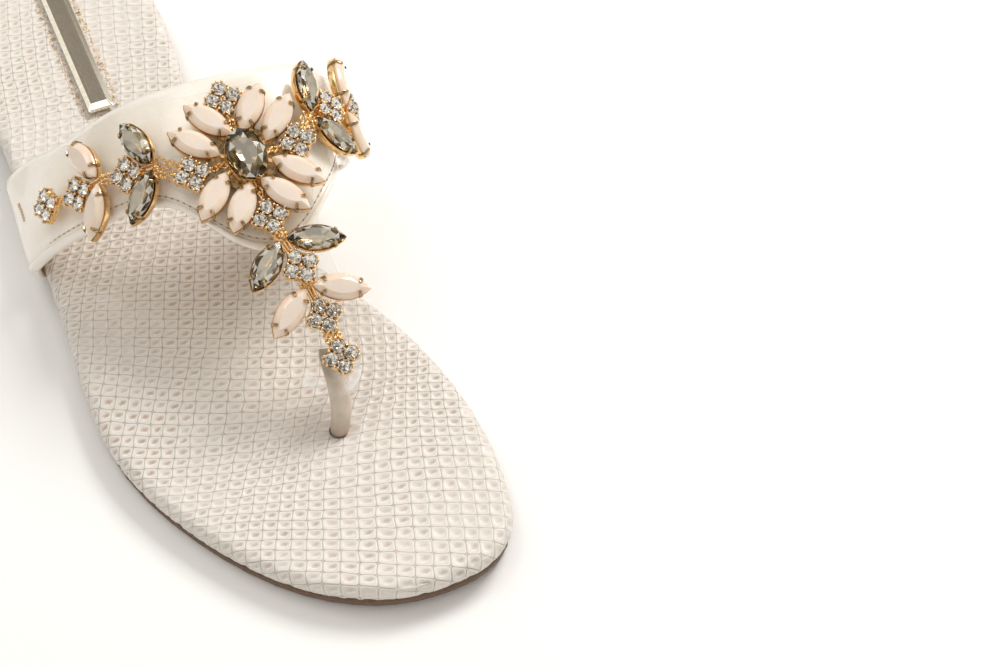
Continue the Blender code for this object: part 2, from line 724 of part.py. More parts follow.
def stem_frame(share, aside):
    """Place, normal and heading on the stem, at a share of its length and a distance from its middle."""
    rows = [row[STEM_CELLS // 2] for row in STEM_ROWS]
    place = spline(rows, share)[0]
    ahead = unit(spline(rows, min(share + 0.15, 1.0))[0] - spline(rows, max(share - 0.15, 0.0))[0])
    wide = unit(STEM_ROWS[4][-1] - STEM_ROWS[4][0])
    place = place + wide * aside * np.sign(wide[0])
    return place, unit(np.cross(wide, -ahead)), ahead


def seat(place, normal, heading, centre, radius, ground):
    """Matrix of an ornament unit: +Y is its heading, and its back lies just over the ground points.

    The unit lies along the plane that best fits the ground within a radius of its centre, which is
    given as a distance along its heading.
    """
    z = unit(normal)
    for _ in range(2):
        x = unit(np.cross(heading, z))
        y = np.cross(z, x)
        local = (ground - place) @ np.stack((x, y, z), axis=1)
        near = (np.hypot(local[:, 0], local[:, 1] - centre) < radius) & (abs(local[:, 2]) < radius)
        under = ground[near]
        fitted = np.linalg.svd(under - under.mean(axis=0))[2][2]
        z = fitted * math.copysign(1.0, fitted @ normal)
    x = unit(np.cross(heading, z))
    y = np.cross(z, x)
    rise = ((under - place) @ z).max() + GAP
    matrix = Matrix([list(column) for column in zip(x, y, z)]).to_4x4()
    matrix.translation = Vector(place + z * rise)
    return matrix


def make_flower(ground):
    place, normal, heading = strap_frame(*FLOWER_PLACE, 90.0, 0.0)
    matrix = seat(place, normal, heading, 0.0, FLOWER_REACH, ground)
    petals = []
    for quarter in range(4):
        for hand in (-1, 1):
            lean = PETAL_TILT if quarter % 2 == 0 else -PETAL_TILT
            turn = math.radians(45.0 + 90.0 * quarter + lean)
            x = PETAL_NARROW * (PETAL_OUT * math.cos(turn) - hand * PETAL_APART * math.sin(turn))
            y = PETAL_OUT * math.sin(turn) + hand * PETAL_APART * math.cos(turn)
            petals.append((x, y, math.degrees(turn) - 90.0 + hand * PETAL_FAN))
    squares = [(SQUARE_OUT[0], 0.0), (0.0, SQUARE_OUT[1]), (SQUARE_OUT[2], 0.0), (0.0, SQUARE_OUT[3])]
    plates = [(oval_outline(FLOWER_HUB, FLOWER_HUB), BACK_THICK),
              (oval_outline(0.7 * OVAL[0], 0.7 * OVAL[1]), BACK_THICK + OVAL_RISE)]
    plates += [(moved(bar_outline(SPINE_WIDTH, 0.0, 15.0), turn=turn), BACK_THICK)
               for turn in (0.0, 90.0, 180.0, 270.0)]
    plates += [(moved(grown(marquise_outline(*MARQUISE), BACK_MARGIN), *petal), BACK_THICK)
               for petal in petals]
    plates += [(moved(square_outline(SQUARE), *place), BACK_THICK) for place in squares]
    make_back("flower_back", plates, matrix)
    base = BACK_THICK + BACK_STEP * len(plates) + GAP
    for number, petal in enumerate(petals):
        make_stone(f"petal_{number + 1}", "pink_opal", moved(marquise_outline(*MARQUISE), *petal),
                   base, matrix)
    make_stone("flower_stone", "smoke_crystal", oval_outline(*OVAL), base + OVAL_RISE, matrix)
    for number, place in enumerate(squares):
        make_square(f"flower_square_{number + 1}", *place, base, matrix)


def make_chain_unit(name, kind, where, run, across, heading, angle, ground):
    size = PAIR_SQUARE + SQUARE if kind == "pair" else 0.0
    if where == "strap":
        place, normal, ahead = strap_frame(run, across, heading, size)
    else:
        place, normal, ahead = stem_frame(run, across)
    radius = PAIR_REACH if kind == "pair" else SQUARE
    matrix = seat(place, normal, ahead, 0.4 * size, radius, ground)
    tail = PAIR_TAIL if kind == "pair" else 0.8 * SQUARE
    square = PAIR_SQUARE if kind == "pair" else 0.0
    plates = [(bar_outline(SPINE_WIDTH, -tail, square), BACK_THICK),
              (moved(square_outline(SQUARE), 0.0, square), BACK_THICK)]
    stones = []
    if kind == "pair":
        for hand in (-1, 1):
            out = PAIR_ROOT + MARQUISE[0] / 2.0
            turn = math.radians(angle)
            stones.append((hand * out * math.sin(turn), out * math.cos(turn), -hand * angle))
    plates += [(moved(grown(marquise_outline(*MARQUISE), BACK_MARGIN), *stone), BACK_THICK)
               for stone in stones]
    make_back(name + "_back", plates, matrix)
    base = BACK_THICK + BACK_STEP * len(plates) + GAP
    finish = "pink_opal" if "pink" in name else "smoke_crystal"
    for hand, stone in zip(("b", "a"), stones):
        make_stone(f"{name}_{hand}", finish, moved(marquise_outline(*MARQUISE), *stone), base, matrix)
    make_square(name + "_square", 0.0, square, base, matrix)


# ------------------------------------------------------------ whole sandal
def make_material(name, colour, roughness, metallic, alpha):
    finish = bpy.data.materials.new(name)
    finish.use_nodes = True
    shader = finish.node_tree.nodes["Principled BSDF"]
    shader.inputs["Base Color"].default_value = (*colour, 1.0)
    shader.inputs["Roughness"].default_value = roughness
    shader.inputs["Metallic"].default_value = metallic
    shader.inputs["Alpha"].default_value = alpha


def mesh_points(item):
    return np.array([vertex.co for vertex in item.data.vertices]) / MM


def main():
    for item in list(bpy.data.objects):
        bpy.data.objects.remove(item)
    for name, row in FINISHES.items():
        make_material(name, *row)
    make_outsole()
    make_footbed()
    strap = strap_sheet("strap", (0.0, 1.0), STRAP_CELLS)
    band = make_clear_band()
    make_post()
    make_plate()
    ground = np.concatenate((mesh_points(strap), mesh_points(band)))
    make_flower(ground)
    for row in CHAIN:
        make_chain_unit(*row, ground)


main()
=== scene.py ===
"""Looks of the T-strap thong sandal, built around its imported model.

Lengths are millimetres in the model's frame until mesh_object() turns them into metres: x grows towards
the big toe, y towards the heel and z upwards, with the origin in the middle of the heel's tread.
"along" is the distance from the back of the heel towards the toe, so y is HEEL_CENTRE - along.
"""

import math

import bmesh
import bpy
import numpy as np
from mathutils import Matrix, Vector


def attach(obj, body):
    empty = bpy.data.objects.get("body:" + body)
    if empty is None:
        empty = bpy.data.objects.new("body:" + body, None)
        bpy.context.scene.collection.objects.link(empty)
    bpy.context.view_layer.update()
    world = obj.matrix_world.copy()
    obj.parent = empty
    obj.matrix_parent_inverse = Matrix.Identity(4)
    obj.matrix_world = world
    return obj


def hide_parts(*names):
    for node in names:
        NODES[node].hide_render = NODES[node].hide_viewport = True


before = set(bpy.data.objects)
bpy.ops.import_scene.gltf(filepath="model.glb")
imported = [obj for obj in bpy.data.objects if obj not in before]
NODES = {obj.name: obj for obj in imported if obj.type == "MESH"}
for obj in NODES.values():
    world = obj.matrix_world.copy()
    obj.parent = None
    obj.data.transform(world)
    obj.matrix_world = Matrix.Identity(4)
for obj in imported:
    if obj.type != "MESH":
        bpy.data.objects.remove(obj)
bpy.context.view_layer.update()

MM = 0.001
SEED = 7
HEEL_CENTRE = 30.0
FOOTBED_THICK = 5.6
RIM = FOOTBED_THICK / 2.0       # radius of the footbed's rounded edge
DISH = 0.5                      # the footbed's middle lies this far under its rim

# ------------------------------------------------------------ camera and stage
TARGET = (0.069, -0.1475, 0.0)
AZIMUTH = math.radians(-25.6)
ELEVATION = math.radians(52.9)
DISTANCE = 0.624
LENS = 86.5


# ------------------------------------------------------------ small tools
def unit(vectors):
    vectors = np.asarray(vectors, dtype=float)
    return vectors / np.linalg.norm(vectors, axis=-1, keepdims=True)


def smooth_step(value, start, end):
    t = np.clip((np.asarray(value, dtype=float) - start) / (end - start), 0.0, 1.0)
    return t * t * (3.0 - 2.0 * t)


def lengths_along(path):
    """Distance of each point of a path from its start, along it."""
    return np.concatenate(([0.0], np.cumsum(np.linalg.norm(np.diff(path, axis=0), axis=1))))


def read_path(path, lengths, stops):
    """Points of a plane path at distances along it."""
    return np.stack([np.interp(stops, lengths, path[:, k]) for k in (0, 1)], axis=1)


def circle(count):
    """Even angles round a whole turn."""
    return np.arange(count) * 2.0 * math.pi / count


def aim(turn):
    """Unit vector in a plane for each angle."""
    return np.stack((np.cos(turn), np.sin(turn)), axis=-1)


def spline(knots, shares):
    """Natural cubic curve through rows of numbers, read at shares of its length."""
    t = lengths_along(knots)
    t /= t[-1]
    h = np.diff(t)
    count = len(t)
    system = np.eye(count)
    right = np.zeros_like(knots)
    for i in range(1, count - 1):
        system[i, i - 1:i + 2] = (h[i - 1], 2.0 * (h[i - 1] + h[i]), h[i])
        right[i] = 6.0 * ((knots[i + 1] - knots[i]) / h[i] - (knots[i] - knots[i - 1]) / h[i - 1])
    bend = np.linalg.solve(system, right)
    shares = np.atleast_1d(shares).astype(float)
    i = np.clip(np.searchsorted(t, shares) - 1, 0, count - 2)
    a = ((t[i + 1] - shares) / h[i])[:, None]
    b = 1.0 - a
    wide = h[i][:, None] ** 2 / 6.0
    return (a * knots[i] + b * knots[i + 1]
            + ((a ** 3 - a) * bend[i] + (b ** 3 - b) * bend[i + 1]) * wide)


def grid_faces(rows, columns, closed=False):
    """Quads between rows of points; closed joins the last column to the first."""
    r, c = np.meshgrid(np.arange(rows - 1), np.arange(columns if closed else columns - 1), indexing="ij")
    d = (c + 1) % columns
    a = r * columns
    return np.stack((a + c, a + d, a + columns + d, a + columns + c), axis=-1).reshape(-1, 4)


def loft_faces(rings, count):
    """Faces of a form lofted through rings of count points, with a cap at each end."""
    last = (rings - 1) * count
    caps = [list(range(count)), list(range(last, last + count))]
    return grid_faces(rings, count, closed=True).tolist() + caps


def repeat_faces(cell, copies, points):
    """The faces of a small form, for many copies of its points in a row."""
    return (cell[None] + (np.arange(copies) * points)[:, None, None]).reshape(-1, 4)


def new_object(name, data):
    item = bpy.data.objects.new(name, data)
    bpy.context.scene.collection.objects.link(item)
    return item


def mesh_object(name, points, faces, *finishes, smooth=True, kinds=None):
    """An object from millimetre points; kinds gives each face's finish by its number."""
    mesh = bpy.data.meshes.new(name)
    faces = faces.tolist() if isinstance(faces, np.ndarray) else faces
    mesh.from_pydata((np.asarray(points, dtype=float) * MM).tolist(), [], faces)
    for finish in finishes:
        mesh.materials.append(FINISHES[finish])
    if kinds is not None:
        mesh.polygons.foreach_set("material_index", np.asarray(kinds, dtype=np.int32))
    if smooth:
        mesh.shade_smooth()
    return new_object(name, mesh)


def add_attribute(item, name, values):
    """A number for each point, which materials read."""
    layer = item.data.attributes.new(name, "FLOAT", "POINT")
    layer.data.foreach_set("value", np.asarray(values, dtype=np.float32))


def dress(item, slot, *nodes):
    """Puts a finished piece on the body in place of the CAD nodes named, which it hides. slot is not used.
    """
    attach(item, "root")
    if nodes:
        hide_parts(*nodes)
    return item


def node_points(name):
    return np.array([v.co for v in NODES[name].data.vertices]) / MM


ROUND_LEVEL = 2                 # subdivision of a rounded copy
SHARP = math.radians(60.0)      # edges that bend more than this stay sharp


def rounded(name, *finishes):
    """A smooth copy of a CAD node: its facets joined into quads and subdivided.

    The second finish goes on the narrow faces between two sharp edges.
    """
    mesh = NODES[name].data.copy()
    shape = bmesh.new()
    shape.from_mesh(mesh)
    bmesh.ops.remove_doubles(shape, verts=shape.verts, dist=2e-6)
    bmesh.ops.join_triangles(shape, faces=shape.faces, angle_face_threshold=math.radians(40),
                             angle_shape_threshold=math.radians(60))
    layer = shape.edges.layers.float.new("crease_edge")
    for edge in shape.edges:
        if len(edge.link_faces) == 2 and edge.calc_face_angle() > SHARP:
            edge[layer] = 0.75
    for face in shape.faces:
        whole = all(len(edge.link_faces) > 1 for edge in face.edges)
        face.material_index = int(whole and sum(edge[layer] > 0.0 for edge in face.edges) >= 2)
    shape.to_mesh(mesh)
    shape.free()
    mesh.materials.clear()
    for finish in finishes:
        mesh.materials.append(FINISHES[finish])
    mesh.shade_smooth()
    item = new_object(name + "_skin", mesh)
    step = item.modifiers.new("round", "SUBSURF")
    step.levels = step.render_levels = ROUND_LEVEL
    return item


# ------------------------------------------------------------ materials
SPOT_OFF = (0.10, 0.24)         # middle of a scale's dash, partly its own tint and partly painted shade
SPOT_SLANT = 0.30
SPOT_SIZE = (0.72, 0.34, 0.52)  # its half length, and its half height above and below the middle
LIP_HIGHLIGHT = (-0.52, 0.24)             # painted highlight of the lit lip under it: its middle and half height
GROOVE_ROUND = 6.0              # superellipse power of the line round a scale
GROOVE = (0.915, 0.97)          # where the line starts and is full, towards a scale's edge
CREST_HIGHLIGHT = (0.66, 0.86)            # the same for the pale crest, a painted highlight on the raised rim


class Nodes:
    """Calls that add nodes to a node tree and join them."""

    def __init__(self, tree):
        self.tree = tree

    def fill(self, socket, value):
        """Joins a socket to another one, or sets its number or colour."""
        if isinstance(value, bpy.types.NodeSocket):
            self.tree.links.new(value, socket)
        else:
            socket.default_value = (*value, 1.0) if socket.type == "RGBA" else value

    def put(self, item, inputs):
        for key, value in inputs.items():
            self.fill(item.inputs[key], value)

    def add(self, kind, inputs=None, out=0, **settings):
        item = self.tree.nodes.new("ShaderNode" + kind)
        for key, value in settings.items():
            setattr(item, key, value)
        self.put(item, inputs or {})
        return item.outputs[out]

    def attribute(self, name):
        return self.add("Attribute", out="Fac", attribute_name=name)

    def maths(self, operation, *values):
        return self.add("Math", dict(enumerate(values)), operation=operation)

    def noise(self, scale, detail=2.0, roughness=0.5, stretch=None):
        """Cloudy noise; scale is in cycles for each metre."""
        place = self.add("TexCoord", out="Object")
        if stretch:
            place = self.add("Mapping", {"Vector": place, "Scale": stretch})
        return self.add("TexNoise", {"Vector": place, "Scale": scale, "Detail": detail,
                                     "Roughness": roughness}, out="Fac")

    def ramp(self, value, start, end, low=0.0, high=1.0):
        return self.add("MapRange", {0: value, 1: start, 2: end, 3: low, 4: high})

    def blend(self, share, first, second):
        item = self.tree.nodes.new("ShaderNodeMix")
        item.data_type = "RGBA"
        for key, value in (("Factor", share), ("A", first), ("B", second)):
            self.fill(next(s for s in item.inputs if s.enabled and s.name == key), value)
        return next(s for s in item.outputs if s.enabled)

    def drift(self, noise, spread, first, second):
        """A colour that drifts between two as a noise moves round its middle value."""
        return self.blend(self.ramp(noise, 0.5 - spread, 0.5 + spread), first, second)

    def bump(self, height, strength, distance, **normal):
        return self.add("Bump", {"Height": height, "Strength": strength, "Distance": distance, **normal})


class Finish(Nodes):
    """A material with its node tree; sockets of its shader are named with _ for a space."""

    def __init__(self, name, colour, roughness, metallic=0.0, **sockets):
        self.material = bpy.data.materials.new(name)
        self.material.use_nodes = True
        super().__init__(self.material.node_tree)
        self.shader = self.tree.nodes["Principled BSDF"]
        self.set(Base_Color=colour, Roughness=roughness, Metallic=metallic, **sockets)

    def set(self, **sockets):
        self.put(self.shader, {key.replace("_", " "): value for key, value in sockets.items()})

    def milky(self):
        """The shader, half of it replaced by light that comes through from behind."""
        through = self.add("BsdfTranslucent", {"Color": (0.97, 0.965, 0.95)})
        return self.add("MixShader", {0: 0.5, 1: self.shader.outputs[0], 2: through})

    def show(self, share, shader, tint=(1.0, 1.0, 1.0)):
        """Shows a share of a shader, and what lies behind the surface through the rest."""
        clear = self.add("BsdfTransparent", {"Color": tint})
        mix = self.add("MixShader", {0: share, 1: clear, 2: shader})
        self.put(self.tree.nodes["Material Output"], {"Surface": mix})
        return self.material


def scale_leather():
    """Cream embossed leather: pale crests and a lip that are painted highlights, thin brown grooves, and
    a slanting dash in each hollow, partly its own tint and partly painted shade of its upper wall.

    across and along run from -1 to 1 over each scale; spot and tint are one value for a scale.
    """
    f = Finish("scale_leather", (0.785, 0.735, 0.68), 0.4)
    across, along = f.attribute("across"), f.attribute("along")
    wide, high = f.maths("ABSOLUTE", across), f.maths("ABSOLUTE", along)
    edge = f.maths("ADD", f.maths("POWER", wide, GROOVE_ROUND), f.maths("POWER", high, GROOVE_ROUND))
    edge = f.maths("POWER", edge, 1.0 / GROOVE_ROUND)
    groove = f.maths("MULTIPLY", f.ramp(edge, *GROOVE),
                     f.ramp(f.maths("MULTIPLY", wide, high), 0.80, 0.95, 1.0, 0.45))
    # Paler raised crests: a painted highlight.
    crest_highlight = f.ramp(f.maths("MAXIMUM", wide, high), *CREST_HIGHLIGHT)
    # Dash of tint and painted shade on the hollow's upper wall; it rises to the right and is sharper on its
    # upper side.
    level_off = f.maths("SUBTRACT", f.maths("SUBTRACT", along, SPOT_OFF[1]),
                        f.maths("MULTIPLY", across, SPOT_SLANT))
    level_off = f.maths("ADD", level_off, f.ramp(f.noise(1300.0), 0.3, 0.7, -0.1, 0.1))
    above = f.maths("DIVIDE", f.maths("MAXIMUM", level_off, 0.0), SPOT_SIZE[1])
    below = f.maths("DIVIDE", f.maths("MINIMUM", level_off, 0.0), SPOT_SIZE[2])
    aside = f.maths("DIVIDE", f.maths("SUBTRACT", across, SPOT_OFF[0]), SPOT_SIZE[0])
    off = f.maths("ADD", f.maths("POWER", f.maths("ADD", above, below), 2.0), f.maths("POWER", aside, 2.0))
    spot = f.maths("MULTIPLY", f.maths("POWER", f.ramp(off, 1.0, 0.0), 1.1), f.attribute("spot"))
    # Painted highlight: the lit lip under the dash.
    lip_highlight = f.maths("POWER", f.maths("DIVIDE", f.maths("SUBTRACT", level_off, LIP_HIGHLIGHT[0]), LIP_HIGHLIGHT[1]), 2.0)
    lip_highlight = f.ramp(f.maths("ADD", lip_highlight, f.maths("POWER", aside, 2.0)), 1.0, 0.0)
    lip_highlight = f.maths("MULTIPLY", lip_highlight, f.ramp(f.attribute("spot"), 0.1, 0.8, 0.5, 1.0))
    cloud = f.noise(900.0, 3.0)
    base = f.drift(cloud, 0.15, (0.785, 0.735, 0.68), (0.755, 0.70, 0.635))
    base = f.blend(crest_highlight, base, (0.83, 0.79, 0.745))
    # Whitens the lip as a painted highlight.
    base = f.blend(lip_highlight, base, (0.90, 0.875, 0.845))
    # The dash's olive or rose colour: the hollow's tint, deepened as painted shade.
    olive, rose = (0.37, 0.305, 0.21), (0.46, 0.305, 0.225)
    base = f.blend(spot, base, f.blend(f.ramp(f.attribute("tint"), 0.45, 0.6), olive, rose))
    line_strength = f.ramp(f.attribute("spot"), 0.10, 0.50, 0.42, 0.70)
    base = f.blend(f.maths("MULTIPLY", groove, line_strength), base, (0.40, 0.325, 0.26))
    line = f.bump(f.maths("MULTIPLY", groove, -1.0), 0.6, 0.0002)
    f.set(Base_Color=base, Roughness=f.ramp(cloud, 0.3, 0.7, 0.32, 0.46),
          Normal=f.bump(f.noise(6500.0), 0.2, 0.0001, Normal=line))
    return f.material


def cloudy(name, first, second, spread, cloud, roughness, metallic=0.0, grain=(), **sockets):
    """A material that drifts between two colours in soft clouds.

    cloud is the settings of the clouds' noise. A pair of roughnesses goes with the two colours. grain
    has a row for each layer of fine bumps: scale and detail of its noise, strength and depth.
    """
    f = Finish(name, first, 0.5, metallic, **sockets)
    noise = f.noise(*cloud)
    if isinstance(roughness, tuple):
        roughness = f.ramp(noise, 0.5 - spread, 0.5 + spread, *roughness)
    f.set(Base_Color=f.drift(noise, spread, first, second), Roughness=roughness)
    normal = {}
    for scale, detail, strength, depth in grain:
        normal = {"Normal": f.bump(f.noise(scale, detail), strength, depth, **normal)}
    f.set(**normal)
    return f.material


def post_leather():
    """Tan leather, with painted shade that browns it towards its foot."""
    f = Finish("post_leather", (0.65, 0.565, 0.47), 0.38, Coat_Weight=0.2, Coat_Roughness=0.2)
    body = f.drift(f.noise(500.0, 3.0), 0.2, (0.65, 0.565, 0.47), (0.60, 0.505, 0.41))
    height = f.add("SeparateXYZ", {"Vector": f.add("TexCoord", out="Object")}, out="Z")
    # Painted shade: browner low down, where the post meets the footbed.
    f.set(Base_Color=f.blend(f.ramp(height, 0.013, 0.007, 0.0, 0.8), body, (0.42, 0.30, 0.21)),
          Normal=f.bump(f.noise(3800.0, 3.0), 0.3, 0.00008))
    return f.material


def thread(name, colour):
    f = Finish(name, colour, 0.6, Sheen_Weight=0.3)
    twist = f.add("TexWave", {"Vector": f.add("TexCoord", out="Object"), "Scale": 2500.0}, out="Fac")
    f.set(Normal=f.bump(twist, 0.4, 0.0001))
    return f.material


def opal(name, pale, deep):
    """Milky resin: light goes a little way into it."""
    return cloudy(name, pale, deep, 0.15, (240.0,), 0.14, Subsurface_Weight=0.4, Subsurface_Scale=1.0,
                  Subsurface_Radius=(0.004, 0.002, 0.0014), Coat_Weight=0.5, Coat_Roughness=0.05)


def crystal(name, tint, clear=1.0, roughness=0.02):
    """Cut glass over a mirror foil; less clear where a painted reflection greys or whitens it, as on a
    table.
    """
    return Finish(name, tint, roughness, Transmission_Weight=clear, IOR=1.55).material


def foil(name, tint, roughness):
    return cloudy(name, tint, tuple(0.8 * part for part in tint), 0.1, (900.0, 1.0), roughness, 1.0)


def vinyl():
    """Clear film: bright where it turns away or mirrors a lamp, nearly unseen elsewhere."""
    f = Finish("clear_vinyl", (0.97, 0.965, 0.94), 0.06, Specular_IOR_Level=0.8)
    share = f.ramp(f.add("LayerWeight", {"Blend": 0.5}, out="Facing"), 0.45, 1.0, 0.03, 0.30)
    f.set(Normal=f.bump(f.noise(160.0), 0.25, 0.0008))
    return f.show(share, f.milky(), (0.995, 0.992, 0.985))


def vinyl_edge():
    """Cut edge of the film, where it looks milky."""
    f = Finish("vinyl_edge", (0.99, 0.985, 0.975), 0.2)
    return f.show(f.ramp(f.noise(220.0), 0.35, 0.65, 0.05, 0.45), f.milky())


def vinyl_glare():
    """The film's end, milky with painted glare where its painted_glare attribute says."""
    f = Finish("vinyl_end", (0.99, 0.985, 0.975), 0.12)
    return f.show(f.attribute("painted_glare"), f.shader.outputs[0])


FINISHES = {
    "scales": scale_leather(),
    # Glossy ivory leather with a faint pull in its surface.
    "patent": cloudy("patent_leather", (0.95, 0.905, 0.835), (0.93, 0.875, 0.79), 0.2, (260.0, 3.0), 0.24,
                     grain=((350.0, 2.0, 0.3, 0.0004), (4200.0, 3.0, 0.2, 0.00008)),
                     Coat_Weight=0.5, Coat_Roughness=0.08),
    "lining": cloudy("lining_leather", (0.70, 0.58, 0.44), (0.58, 0.45, 0.32), 0.2, (1500.0, 4.0, 0.6),
                     0.6, grain=((3000.0, 4.0, 0.4, 0.0001),)),
    "post": post_leather(),
    "rubber": cloudy("outsole_rubber", (0.205, 0.13, 0.085), (0.135, 0.085, 0.055), 0.2,
                     (700.0, 5.0, 0.6), 0.65, grain=((2500.0, 4.0, 0.5, 0.0002),)),
    "thread": thread("seam_thread", (0.80, 0.71, 0.60)),
    "tack": thread("tack_thread", (0.66, 0.44, 0.26)),
    # Painted shade in the needle holes between stitches.
    "needle_hole_shade": thread("needle_hole_shade", (0.42, 0.32, 0.235)),
    # Painted shadow in the toe post's slot.
    "slot": thread("post_slot_shadow", (0.19, 0.14, 0.095)),
    "gold": cloudy("gold_metal", (0.98, 0.70, 0.37), (0.80, 0.52, 0.24), 0.2, (1800.0, 3.0),
                   (0.10, 0.26), 1.0),
    # Claws and the flower's hub disc: a darker copy of the gold, painted shade.
    "claw": cloudy("claw_gold_shaded", (0.62, 0.44, 0.23), (0.28, 0.19, 0.095), 0.15, (900.0,), 0.2, 1.0),
    # Worn gold foil, tan where it has gone.
    "glitter": cloudy("gold_fleck", (0.88, 0.70, 0.46), (0.62, 0.40, 0.22), 0.1, (1500.0,), 0.4, 0.5),
    # Smoked mirror metal with a fine brushed grain; its front bevel is satin and stays bright.
    "plate": cloudy("plate_metal", (0.385, 0.335, 0.27), (0.30, 0.26, 0.205), 0.2,
                    (700.0, 3.0, 0.5, (12.0, 1.0, 1.0)), (0.16, 0.26), 1.0),
    "bevel": cloudy("plate_bevel", (0.95, 0.90, 0.79), (0.86, 0.78, 0.62), 0.2, (900.0,), 0.16, 1.0),
    "bevel_end": Finish("plate_bevel_end", (0.97, 0.95, 0.91), 0.5, 0.5).material,
    "opal": opal("pink_opal", (0.95, 0.765, 0.63), (0.91, 0.69, 0.55)),
    # Painted reflection: the lower sides glow orange with light thrown back by the gold cup.
    "opal_side": opal("pink_opal_side", (0.95, 0.68, 0.46), (0.90, 0.59, 0.37)),
    "opal_table": opal("pink_opal_table", (0.92, 0.785, 0.69), (0.90, 0.75, 0.655)),
    "smoke": crystal("smoke_crystal", (0.90, 0.865, 0.77)),
    # The table's grey haze is a painted reflection.
    "smoke_table": crystal("smoke_table", (0.80, 0.775, 0.70), clear=0.7, roughness=0.03),
    "smoke_pale": crystal("smoke_pale", (0.98, 0.965, 0.92), clear=0.5, roughness=0.05),
    "smoke_dark": crystal("smoke_dark", (0.46, 0.39, 0.27)),
    "smoke_foil": foil("smoke_foil", (0.62, 0.54, 0.385), 0.06),
    "clear": crystal("clear_crystal", (1.0, 0.99, 0.965)),
    # Pale facets of the brilliants: a painted reflection.
    "clear_pale": crystal("clear_pale", (1.0, 0.99, 0.98), clear=0.35, roughness=0.06),
    "clear_foil": foil("clear_foil", (1.0, 0.975, 0.93), 0.1),
    "vinyl": vinyl(),
    "vinyl_edge": vinyl_edge(),
    "vinyl_end": vinyl_glare(),
    "floor": Finish("floor_white", (0.985, 0.984, 0.981), 0.6, Specular_IOR_Level=0.2).material,
}


# ------------------------------------------------------------ footbed form, read from the model
OUTLINE_ROWS = 200
RING_STEP = 1.0
RING_SOFT = 2.0                 # blur that rounds off the model's facets


def side_curves(name):
    """A node's plan outline: rows of (y, lowest x, highest x, highest z), heel first."""
    mesh = NODES[name].data
    points = node_points(name)
    edges = np.array([edge.vertices[:] for edge in mesh.edges])
    start, end = points[edges[:, 0]], points[edges[:, 1]]
    low, high = points[:, 1].min(), points[:, 1].max()
    turn = np.cos(np.linspace(0.0, math.pi, OUTLINE_ROWS))
    rows = []
    for y in 0.5 * (low + high) + 0.499 * (high - low) * turn:
        cross = (start[:, 1] - y) * (end[:, 1] - y) < 0.0
        a, b = start[cross], end[cross]
        share = ((y - a[:, 1]) / (b[:, 1] - a[:, 1]))[:, None]
        hit = a + (b - a) * share
        rows.append((y, hit[:, 0].min(), hit[:, 0].max(), hit[:, 2].max()))
    return np.array(rows)


def closed_ring(rows):
    """The outline as one closed ring with even steps, facets rounded off."""
    ring = np.concatenate((rows[:, (1, 0)], rows[::-1, (2, 0)]))
    loop = np.concatenate((ring, ring[:1]))
    lengths = lengths_along(loop)
    count = int(lengths[-1] / RING_STEP)
    ring = read_path(loop, lengths, np.arange(count) * lengths[-1] / count)
    reach = int(3.0 * RING_SOFT / RING_STEP)
    weights = np.exp(-0.5 * (np.arange(-reach, reach + 1) * RING_STEP / RING_SOFT) ** 2)
    weights /= weights.sum()
    return sum(w * np.roll(ring, k - reach, axis=0) for k, w in enumerate(weights))


def ring_normals(ring):
    """Outward unit normals of a ring that runs heel, lateral side, toe, medial side."""
    tangent = unit(np.roll(ring, -1, axis=0) - np.roll(ring, 1, axis=0))
    return np.stack((tangent[:, 1], -tangent[:, 0]), axis=1)


BED_ROWS = side_curves("footbed")
BED_RING = closed_ring(BED_ROWS)
if np.mean(np.sum(ring_normals(BED_RING) * (BED_RING - BED_RING.mean(axis=0)), axis=1)) < 0.0:
    BED_RING = BED_RING[::-1]
INNER_RING = BED_RING - ring_normals(BED_RING) * RIM


def rim_top(y):
    """Height of the footbed's rim; past its ends the slope runs on."""
    inside = BED_ROWS[(BED_ROWS[:, 0] > BED_ROWS[:, 0].min() + 2.0 * RIM)
                      & (BED_ROWS[:, 0] < BED_ROWS[:, 0].max() - 2.0 * RIM)][::-1]
    y = np.asarray(y, dtype=float)
    value = np.interp(y, inside[:, 0], inside[:, 3])
    toe = (inside[8, 3] - inside[0, 3]) / (inside[8, 0] - inside[0, 0])
    return value + toe * np.minimum(y - inside[0, 0], 0.0)


def edge_x(y, side):
    """x of the footbed's edge: side -1 is lateral, +1 is medial."""
    rows = BED_ROWS[::-1]
    return np.interp(y, rows[:, 0], rows[:, 1 if side < 0 else 2])


def nearest_on_ring(plan, ring):
    """For plan points: nearest point of the ring, distance from it, and whether they lie outside."""
    ahead = np.roll(ring, -1, axis=0) - ring
    length = np.sum(ahead * ahead, axis=1)
    place = np.empty_like(plan)
    outside = np.empty(len(plan), dtype=bool)
    block = 4000
    for start in range(0, len(plan), block):
        p = plan[start:start + block]
        nearest = np.argmin(((p[:, None] - ring[None]) ** 2).sum(axis=2), axis=1)
        found = []
        for k in (nearest, (nearest - 1) % len(ring)):
            share = np.clip(np.sum((p - ring[k]) * ahead[k], axis=1) / length[k], 0.0, 1.0)
            foot = ring[k] + ahead[k] * share[:, None]
            off = p - foot
            side = off[:, 0] * ahead[k][:, 1] - off[:, 1] * ahead[k][:, 0] > 0.0
            found.append((foot, side, np.linalg.norm(off, axis=1)))
        (foot, side, gap), (other_foot, other_side, other_gap) = found
        closer = other_gap < gap
        place[start:start + block] = np.where(closer[:, None], other_foot, foot)
        outside[start:start + block] = np.where(closer, other_side, side)
    return place, np.linalg.norm(plan - place, axis=1), outside


WRAP_END = math.radians(153.0)  # how far the leather is turned under the edge


